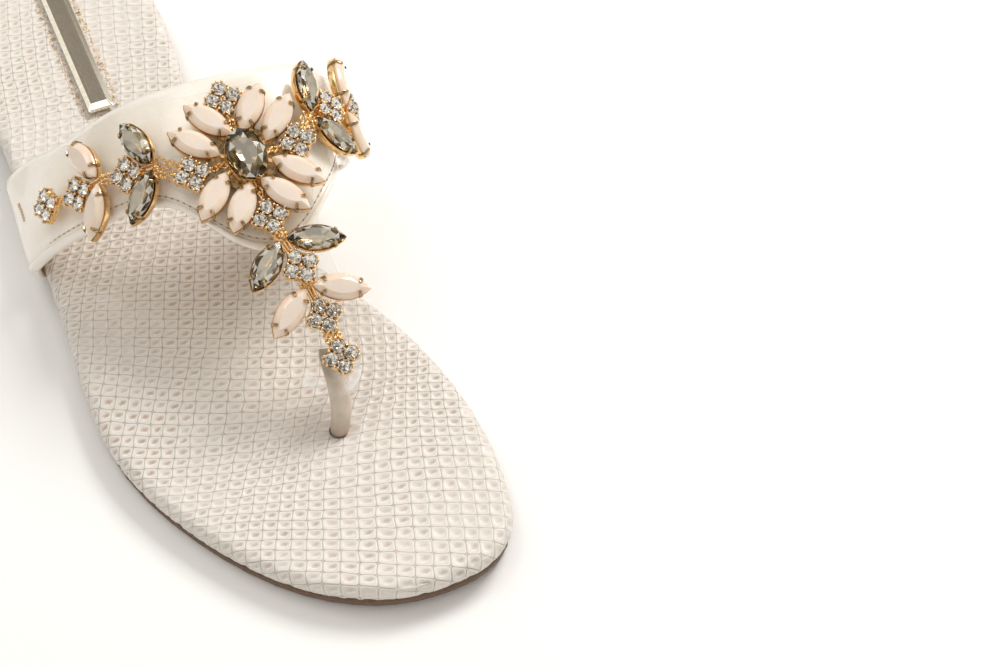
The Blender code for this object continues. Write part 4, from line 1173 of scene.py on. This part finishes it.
def outline_of(seat):
    if "square" in seat.name:
        return oval(2.0 * BRILLIANT, 2.0 * BRILLIANT)
    if seat.name == "flower_stone":
        return oval(seat.length, seat.width)
    return marquise(seat.length, seat.width)


class Shape:
    """Gathers points and faces of many small forms for one mesh."""

    def __init__(self):
        self.points, self.faces, self.kinds = [], [], []
        self.count = 0

    def add(self, points, faces, kind=0):
        self.points.append(np.asarray(points, dtype=float).reshape(-1, 3))
        self.faces += [[int(i) + self.count for i in face] for face in faces]
        kinds = (kind,) if np.isscalar(kind) else kind
        self.kinds += [kinds[i % len(kinds)] for i in range(len(faces))]
        self.count += len(self.points[-1])

    def object(self, name, *finishes, smooth=None):
        item = mesh_object(name, np.concatenate(self.points), self.faces, *finishes,
                           smooth=False, kinds=self.kinds)
        shape = bmesh.new()
        shape.from_mesh(item.data)
        bmesh.ops.remove_doubles(shape, verts=shape.verts, dist=1e-7)
        bmesh.ops.recalc_face_normals(shape, faces=shape.faces)
        shape.to_mesh(item.data)
        shape.free()
        if smooth:
            item.data.shade_smooth()
            item.data.set_sharp_from_angle(angle=math.radians(smooth))
        return item


def facets(shape, place, outline, levels, count, kinds):
    """Bands of facets between rings of a stone's levels."""
    rings = []
    for height, wide, long, twist in levels:
        flat = outline((np.arange(count) + twist) / count) * (wide, long)
        rings.append(place(np.column_stack((flat, np.full(count, height)))))
    for band in range(len(levels) - 1):
        faces = []
        low_twist, high_twist = levels[band][3], levels[band + 1][3]
        for i in range(count):
            j = (i + 1) % count
            if low_twist == high_twist:
                faces.append((i, j, count + j, count + i))
            elif low_twist < high_twist:
                faces += [(i, j, count + i), (j, count + j, count + i)]
            else:
                faces += [(i, count + j, count + i), (i, j, count + j)]
        shape.add(np.concatenate(rings[band:band + 2]), faces, kinds[band])
    shape.add(rings[0], [range(count)], kinds[0])
    shape.add(rings[-1], [range(count)], kinds[-1])


def make_opal(seat):
    """Milky stone: a round-shouldered bevel and a flat pointed-oval table."""
    shape = Shape()
    # The lower bands take the orange side finish, a painted reflection of the cup.
    facets(shape, seat.place, outline_of(seat), OPAL_LEVELS, OPAL_POINTS, (2, 2, 2, 0, 0, 0, 1))
    return shape.object(seat.name + "_stone", "opal", "opal_table", "opal_side", smooth=24.0)


def make_crystal(seat):
    """Cut stone: a glass crown with a hazy table, over a foiled pavilion."""
    shape = Shape()
    levels, shades = CRYSTAL_LEVELS, SHADES
    if seat.name == "flower_stone":
        levels, shades = FLOWER_LEVELS, FLOWER_SHADES
    facets(shape, seat.place, outline_of(seat), levels, CRYSTAL_POINTS, (1, 1, 0, shades, shades[5:], 2))
    return shape.object(seat.name + "_stone", "smoke", "smoke_foil", "smoke_table", "smoke_pale",
                        "smoke_dark")


def make_brilliants(seat):
    """The four small stones of a square."""
    shape = Shape()
    for k, turn in enumerate(circle(4)):
        middle = (*(BRILLIANT_OUT * aim(turn)), 0.0)

        def place(local, middle=middle):
            return seat.place(local + middle)
        shades = BRILLIANT_SHADES[k:] + BRILLIANT_SHADES[:k]
        facets(shape, place, outline_of(seat), BRILLIANT_LEVELS, BRILLIANT_POINTS,
               (1, 1, 0, shades, shades[3:], 0))
    return shape.object(seat.name + "_stones", "clear", "clear_foil", "clear_pale")


def ring_outward(outline, share):
    """Unit outward normals of an outline."""
    step = 0.004
    tangent = unit(outline(share + step) - outline(share - step))
    return np.stack((-tangent[:, 1], tangent[:, 0]), -1)


# Cross-section of a cup's wall: distance out of the stone's outline, height over its foot.
CUP_WALL = ((-0.9, -0.95), (0.0, -0.95), (0.18, -0.5), (0.27, 0.2), (0.31, 0.85), (0.25, 1.05),
            (0.10, 1.02), (0.04, 0.7), (0.0, 0.0), (-0.15, -0.6), (-0.9, -0.6))
THIN_WALL = ((-0.9, -0.95), (-0.15, -0.95), (0.04, -0.5), (0.12, 0.3), (0.15, 0.85), (0.10, 1.0),
             (0.0, 0.98), (-0.02, 0.6), (-0.1, 0.0), (-0.3, -0.6), (-0.9, -0.6))
CUP_POINTS = 48
# Middle line of a claw: distance out of the outline, height over the foot.
CLAW_LINE = ((0.18, 0.0), (0.24, 1.0), (0.22, 1.7), (0.06, 2.12), (-0.30, 2.60), (-0.72, 2.95),
             (-1.0, 3.1))
CLAW_WIDE = 1.0
CLAW_THICK = 0.36
CLAWS = (0.10, 0.40, 0.60, 0.90)            # their places, as shares of the way round
FLOWER_CLAWS = (0.12, 0.38, 0.62, 0.88)
FLOWER_DEEP = 1.9               # how much deeper the flower's middle cup is


def add_cup(shape, seat, middle, outline, wall, points=CUP_POINTS):
    """A cup's hollow wall round an outline, with a flat floor."""
    share = np.arange(points) / points
    flat, outward = outline(share), ring_outward(outline, share)
    ring = []
    for out, height in wall:
        ring.append(np.column_stack((flat + outward * out, np.full(points, height))) + middle)
    faces = grid_faces(len(wall), points, closed=True).tolist()
    last = (len(wall) - 1) * points
    faces += [(last + i, last + (i + 1) % points, (i + 1) % points, i) for i in range(points)]
    shape.add(seat.place(np.concatenate(ring)), faces)
    floor = (wall[0][1] + wall[-1][1]) / 2.0
    shape.add(seat.place(np.column_stack((flat + outward * wall[0][0], np.full(points, floor))) + middle),
              [range(points)])


def add_claw(shape, seat, outline, share):
    """A flat metal tab folded over a stone's edge."""
    foot = outline(np.array([share]))[0]
    outward = ring_outward(outline, np.array([share]))[0]
    side = np.array((-outward[1], outward[0], 0.0))
    path = np.array([(*(foot + outward * out), height) for out, height in CLAW_LINE])
    ahead = np.gradient(path, axis=0)
    normal = unit(np.cross(side, ahead))
    taper = np.linspace(1.0, 0.72, len(path))[:, None]
    rings = []
    for u, v in ((-0.5, -0.5), (-0.5, 0.28), (-0.34, 0.5), (0.34, 0.5), (0.5, 0.28), (0.5, -0.5)):
        rings.append(path + side * u * CLAW_WIDE * taper + normal * v * CLAW_THICK)
    points = np.stack(rings, axis=1).reshape(-1, 3)
    shape.add(seat.place(points), loft_faces(len(path), len(rings)), 1)


def tube(path, radius, sides=8):
    """A round wire along a path of points."""
    path = np.asarray(path, dtype=float)
    ahead = unit(np.gradient(path, axis=0))
    up = np.array((0.0, 0.0, 1.0)) if abs(ahead[0, 2]) < 0.9 else np.array((1.0, 0.0, 0.0))
    side = unit(np.cross(ahead, up))
    lift = np.cross(side, ahead)
    rings = [path + side * math.cos(t) * radius + lift * math.sin(t) * radius for t in circle(sides)]
    return np.stack(rings, axis=1).reshape(-1, 3), loft_faces(len(path), sides)


def rod(start, end, radius, sides=8):
    return tube([start, (start + end) / 2.0, end], radius, sides)


def add_ball(shape, place, radius):
    ball = bmesh.new()
    bmesh.ops.create_icosphere(ball, subdivisions=2, radius=radius)
    points = np.array([v.co for v in ball.verts]) + place
    shape.add(points, [[v.index for v in face.verts] for face in ball.faces])
    ball.free()


def make_cup(seat):
    """Gold setting of a large stone: a thin cup with folded claws."""
    shape = Shape()
    outline = outline_of(seat)
    wall = CUP_WALL if "smoke" in seat.name else THIN_WALL
    shares = CLAWS
    if seat.name == "flower_stone":
        wall = tuple((out, height - FLOWER_DEEP if height < -0.4 else height) for out, height in wall)
        shares = FLOWER_CLAWS
    add_cup(shape, seat, (0.0, 0.0, 0.0), outline, wall)
    for share in shares:
        add_claw(shape, seat, outline, share)
    return shape.object(seat.name + "_cup", "gold", "claw", smooth=40.0)


BRILLIANT_CUP = ((-0.5, -0.85), (-0.1, -0.85), (0.06, -0.4), (0.12, 0.4), (0.14, 0.95), (0.08, 1.1),
                 (0.0, 1.0), (-0.02, 0.3), (-0.3, -0.4), (-0.5, -0.5))
BEAD = 0.40                     # radius of a bead claw
BEAD_HEIGHT = 1.68
BEAD_POST = 0.28                # radius of the post under it
CORNER = (4.62, 0.50, 0.95)     # a corner bead: distance from the middle, radius, height
SQUARE_REACH = 3.7              # how far from a square's middle the wires end


def make_square_setting(seat):
    """Four joined round cups with bead claws between the stones."""
    shape = Shape()
    ring = oval(2.0 * BRILLIANT, 2.0 * BRILLIANT)
    claws = {(0.0, 0.0)}
    for turn in circle(4):
        middle = BRILLIANT_OUT * aim(turn)
        add_cup(shape, seat, (*middle, 0.0), ring, BRILLIANT_CUP, points=24)
        for lean in (-0.5, -0.2, 0.2, 0.5):
            claws.add(tuple((middle + (BRILLIANT + 0.1) * aim(turn + lean * math.pi)).round(2)))
        claws.add(tuple((math.sqrt(0.5) * BRILLIANT_OUT * aim(turn + 0.25 * math.pi)).round(2)))
    corners = CORNER[0] * aim(circle(4))
    for k, corner in enumerate(corners):
        add_ball(shape, seat.place((*corner, CORNER[2])), CORNER[1])
        for height in (-0.5, 0.3):
            ends = seat.place([(*corner, height), (*corners[k - 1], height)])
            shape.add(*rod(*ends, WIRE, sides=6))
    for x, y in sorted(claws):
        add_ball(shape, seat.place((x, y, BEAD_HEIGHT)), BEAD)
        shape.add(*tube([seat.place((x, y, z)) for z in (-0.6, 0.5, BEAD_HEIGHT)], BEAD_POST, sides=6))
    return shape.object(seat.name + "_setting", "gold", smooth=45.0)


CHAIN_LINKS = (
    # unit, the square that it hangs on, number of wires, and their spread in mm
    ("left_smoke", "flower_square_3", 5, 5.6),
    ("left_pink", "left_smoke_square", 3, 3.4),
    ("left_end", "left_pink_square", 3, 2.6),
    ("right_smoke", "flower_square_1", 5, 5.0),
    ("right_pink", "right_smoke_square", 3, 3.4),
    ("right_end", "right_pink_square", 3, 2.6),
    ("stem_smoke", "flower_square_4", 4, 3.6),
    ("stem_pink", "stem_smoke_square", 5, 4.2),
    ("stem_end", "stem_pink_square", 5, 4.4),
)
WIRE_TURNS = 2.5                # times that the wires weave over each other
ROD = 0.6                       # radius of the rods under a unit
ROD_LIFT = ROD - 0.95           # height of their middle over the stones' feet
SIDE_WIRE = (0.8, 0.3)          # wires beside the rod to the square: distance from it, height


def tips_of(seat):
    return [seat.origin + seat.y * end * seat.length / 2.0 for end in (-1.0, 1.0)]


def root_of(seats, unit_name):
    """Where a unit hangs: between its stones' inner tips, or the middle of its square."""
    if unit_name + "_a" not in seats:
        square = seats[unit_name + "_square"]
        return square.origin, square.z
    tips = [tips_of(seats[unit_name + hand]) for hand in ("_a", "_b")]
    pairs = [(np.linalg.norm(p - q), (p + q) / 2.0) for p in tips[0] for q in tips[1]]
    return min(pairs, key=lambda pair: pair[0])[1], seats[unit_name + "_a"].z


def add_wires(shape, start, end, up, count, spread, random):
    """Gold wires woven side by side from one place to another, with solder beads among them."""
    ahead = unit(end - start)
    side = unit(np.cross(ahead, up))
    lift = np.cross(side, ahead)
    share = np.linspace(0.0, 1.0, 18)[:, None]
    for k in range(count):
        phase = 2.0 * math.pi * (WIRE_TURNS * share + 0.5 * k) + random.uniform(-0.5, 0.5)
        across = ((k + 0.5) / count - 0.5) * spread + 0.28 * np.cos(phase)
        height = 0.35 + 0.34 * np.sin(phase)
        path = start + (end - start) * share + side * across + lift * height
        shape.add(*tube(path, WIRE, sides=7))
    for _ in range(2 * count):
        place = start + (end - start) * random.uniform(0.2, 0.8)
        place = place + side * random.uniform(-0.45, 0.45) * spread + lift * random.uniform(0.5, 0.9)
        add_ball(shape, place, random.uniform(0.3, 0.45))


def make_links(seats, unit_name, hangs_on, count, spread, random):
    """Wires to a unit from the square before it, and the rods that carry its stones."""
    shape = Shape()
    root, up = root_of(seats, unit_name)
    square = seats[hangs_on]
    own = seats[unit_name + "_square"]
    ahead = unit(root - square.origin)
    end = root if unit_name + "_a" in seats else root - ahead * SQUARE_REACH
    add_wires(shape, square.origin + ahead * SQUARE_REACH, end + up * 0.1, unit(square.z + up), count,
              spread, random)
    if unit_name + "_a" in seats:
        for name in (unit_name + "_a", unit_name + "_b", unit_name + "_square"):
            seat = seats[name]
            shape.add(*rod(root + up * ROD_LIFT, seat.origin + seat.z * ROD_LIFT, ROD))
        start = root + up * SIDE_WIRE[1]
        end = own.origin + unit(root - own.origin) * SQUARE_REACH + own.z * SIDE_WIRE[1]
        side = unit(np.cross(end - start, up)) * SIDE_WIRE[0]
        for off in (-side, side):
            shape.add(*rod(start + off, end + off, WIRE, sides=7))
    return shape.object(unit_name + "_links", "gold", smooth=50.0)


HUB_WIDE = 17.0                 # width of the disc behind the flower
HUB_THICK = 0.8
HUB_DEEP = 2.2                  # its middle under the foot of the middle stone
HUB_POINTS = 32
SPOKE = 0.7                     # radius


def make_hub(seats, random):
    """Spokes of the flower, from its middle stone's cup to the petals and squares."""
    shape = Shape()
    heart = seats["flower_stone"]
    centre = heart.origin - heart.z * HUB_DEEP
    for name, seat in seats.items():
        if name.startswith("petal"):
            inner = min(tips_of(seat), key=lambda tip: np.linalg.norm(tip - centre))
            start = centre + unit(inner - centre) * 3.0 + heart.z * 0.2
            shape.add(*tube([start, (start + inner) / 2.0, inner + (seat.origin - inner) * 0.3], SPOKE))
            add_ball(shape, start + (inner - start) * 0.55 + heart.z * 0.6, 0.62)
        elif name.startswith("flower_square"):
            start = centre + unit(seat.origin - centre) * 4.0
            add_wires(shape, start, seat.origin + unit(start - seat.origin) * SQUARE_REACH, heart.z, 2, 1.8,
                      random)
    disc = oval(HUB_WIDE, HUB_WIDE)(np.arange(HUB_POINTS) / HUB_POINTS)
    low = centre + disc @ np.stack((heart.x, heart.y)) - heart.z * HUB_THICK / 2.0
    # The hub disc takes the darker gold, painted shade between the petals.
    shape.add(np.concatenate((low, low + heart.z * HUB_THICK)), loft_faces(2, HUB_POINTS), 1)
    return shape.object("flower_hub", "gold", "claw", smooth=50.0)


# The film's round end: its middle from the square's in x and y, its rings' radius, height and painted
# glare.
STEM_END_PLACE = (-2.6, -1.6)
STEM_END = ((4.0, -1.5, 0.0), (5.2, -1.55, 0.5), (6.6, -1.65, 0.9), (7.2, -1.75, 1.0), (7.4, -1.9, 1.0),
            (7.2, -2.1, 0.2), (4.0, -1.8, 0.0))
# Where painted glare makes the rim milky: heading and half width in degrees, strength.
STEM_END_GLARE = ((-48.0, 34.0, 0.7), (-168.0, 26.0, 0.45), (-110.0, 60.0, 0.12))


def make_stem_end(seat):
    """Round end of the clear film, under the lowest square."""
    right = unit(np.cross((0.0, 1.0, 0.0), seat.z))
    rear = np.cross(seat.z, right)
    turn = circle(72)
    around = np.zeros(len(turn))
    # Painted glare round the rim, strongest at the listed headings.
    for heading, wide, strength in STEM_END_GLARE:
        off = (np.degrees(turn) - heading + 180.0) % 360.0 - 180.0
        around = np.maximum(around, strength * np.clip(2.5 * (1.0 - abs(off) / wide), 0.0, 1.0))
    rings = []
    painted_glare = []
    for radius, height, share in STEM_END:
        flat = STEM_END_PLACE + radius * aim(turn)
        rings.append(seat.origin + flat[:, :1] * right + flat[:, 1:] * rear + seat.z * height)
        painted_glare.append(around * share)
    faces = loft_faces(len(rings), len(turn))
    item = mesh_object("stem_end_film", np.concatenate(rings), faces, "vinyl_end")
    item.data.set_sharp_from_angle(angle=math.radians(50.0))
    add_attribute(item, "painted_glare", np.concatenate(painted_glare))
    return item


def make_ornament():
    """All stones in their settings, the links between the units, and the film's end under them."""
    random = np.random.default_rng(SEED + 20)
    names = [name for name in NODES if name.startswith(("petal", "flower", "left", "right", "stem"))]
    seats = {name: Seat(name) for name in names if not name.endswith("_back")}
    for name, seat in seats.items():
        if "square" in name:
            dress(make_brilliants(seat), "clear_crystal", name)
            dress(make_square_setting(seat), "gold_metal")
        elif "smoke" in name or name == "flower_stone":
            dress(make_crystal(seat), "smoke_crystal", name)
            dress(make_cup(seat), "gold_metal")
        else:
            dress(make_opal(seat), "pink_opal", name)
            dress(make_cup(seat), "gold_metal")
    for unit_name, *rest in CHAIN_LINKS:
        dress(make_links(seats, unit_name, *rest, random), "gold_metal", unit_name + "_back")
    dress(make_hub(seats, random), "gold_metal", "flower_back")
    dress(make_stem_end(seats["stem_end_square"]), "clear_vinyl")


# ------------------------------------------------------------ stage
def make_camera():
    back = Vector((math.sin(AZIMUTH) * math.cos(ELEVATION), -math.cos(AZIMUTH) * math.cos(ELEVATION),
                   math.sin(ELEVATION)))
    lens = bpy.data.cameras.new("camera")
    lens.lens = LENS
    lens.sensor_width = 36.0
    lens.clip_end = 20.0
    item = new_object("camera", lens)
    item.location = Vector(TARGET) + back * DISTANCE
    item.rotation_euler = back.to_track_quat("Z", "Y").to_euler()
    bpy.context.scene.camera = item


SHOE_MIDDLE = Vector((0.01, -0.09, 0.01))


def lamp(name, place, size, power, colour=(1.0, 1.0, 1.0)):
    """A square soft light that looks at the middle of the shoe."""
    light = bpy.data.lights.new(name, "AREA")
    light.size = size
    light.energy = power
    light.color = colour
    item = new_object(name, light)
    item.location = place
    item.rotation_euler = (Vector(place) - SHOE_MIDDLE).to_track_quat("Z", "Y").to_euler()


FLOOR = 4000.0                  # half width
FLOOR_DROP = 0.00005            # metres that it lies under the sole


def make_stage():
    """White floor, and a room of pale and dark cards that the stones and metal mirror."""
    corners = [(x * FLOOR, y * FLOOR, 0.0) for x, y in ((-1, -1), (1, -1), (1, 1), (-1, 1))]
    floor = mesh_object("floor", corners, [(0, 1, 2, 3)], "floor")
    floor.location.z = -FLOOR_DROP
    world = bpy.data.worlds.new("room")
    world.use_nodes = True
    room = Nodes(world.node_tree)
    place = room.add("TexCoord", out="Generated")
    cards = room.add("TexNoise", {"Vector": place, "Scale": 2.2, "Detail": 1.0}, out="Fac")
    light = room.blend(room.ramp(cards, 0.47, 0.54), (0.16, 0.125, 0.085), (0.96, 0.94, 0.90))
    room.put(room.tree.nodes["Background"], {0: light})
    bpy.context.scene.world = world
    lamp("key", (0.75, 0.22, 0.85), 0.45, 8.5, (1.0, 0.985, 0.96))
    lamp("top", (-0.25, 0.35, 1.1), 0.5, 1.6)
    bpy.context.scene.view_settings.view_transform = "Standard"


make_camera()
make_stage()
dress(make_scales(), "scale_leather", "footbed")
dress(make_board(), "scale_leather", "footbed")
dress(make_strap(), "patent_leather", "strap")
dress(make_stitches(), "patent_leather")
dress(make_bar_tack(), "patent_leather")
film = dress(rounded("clear_band", "vinyl", "vinyl_edge"), "clear_vinyl", "clear_band")
film.visible_shadow = False
dress(rounded("toe_post", "post", "post"), "post_leather", "toe_post")
dress(make_post_slot_shadow(), "post_leather")
dress(make_plate(), "plate_metal", "name_plate")
dress(make_plate_border(), "plate_metal")
make_ornament()
for slot in NODES["outsole"].material_slots:
    slot.material = FINISHES["rubber"]
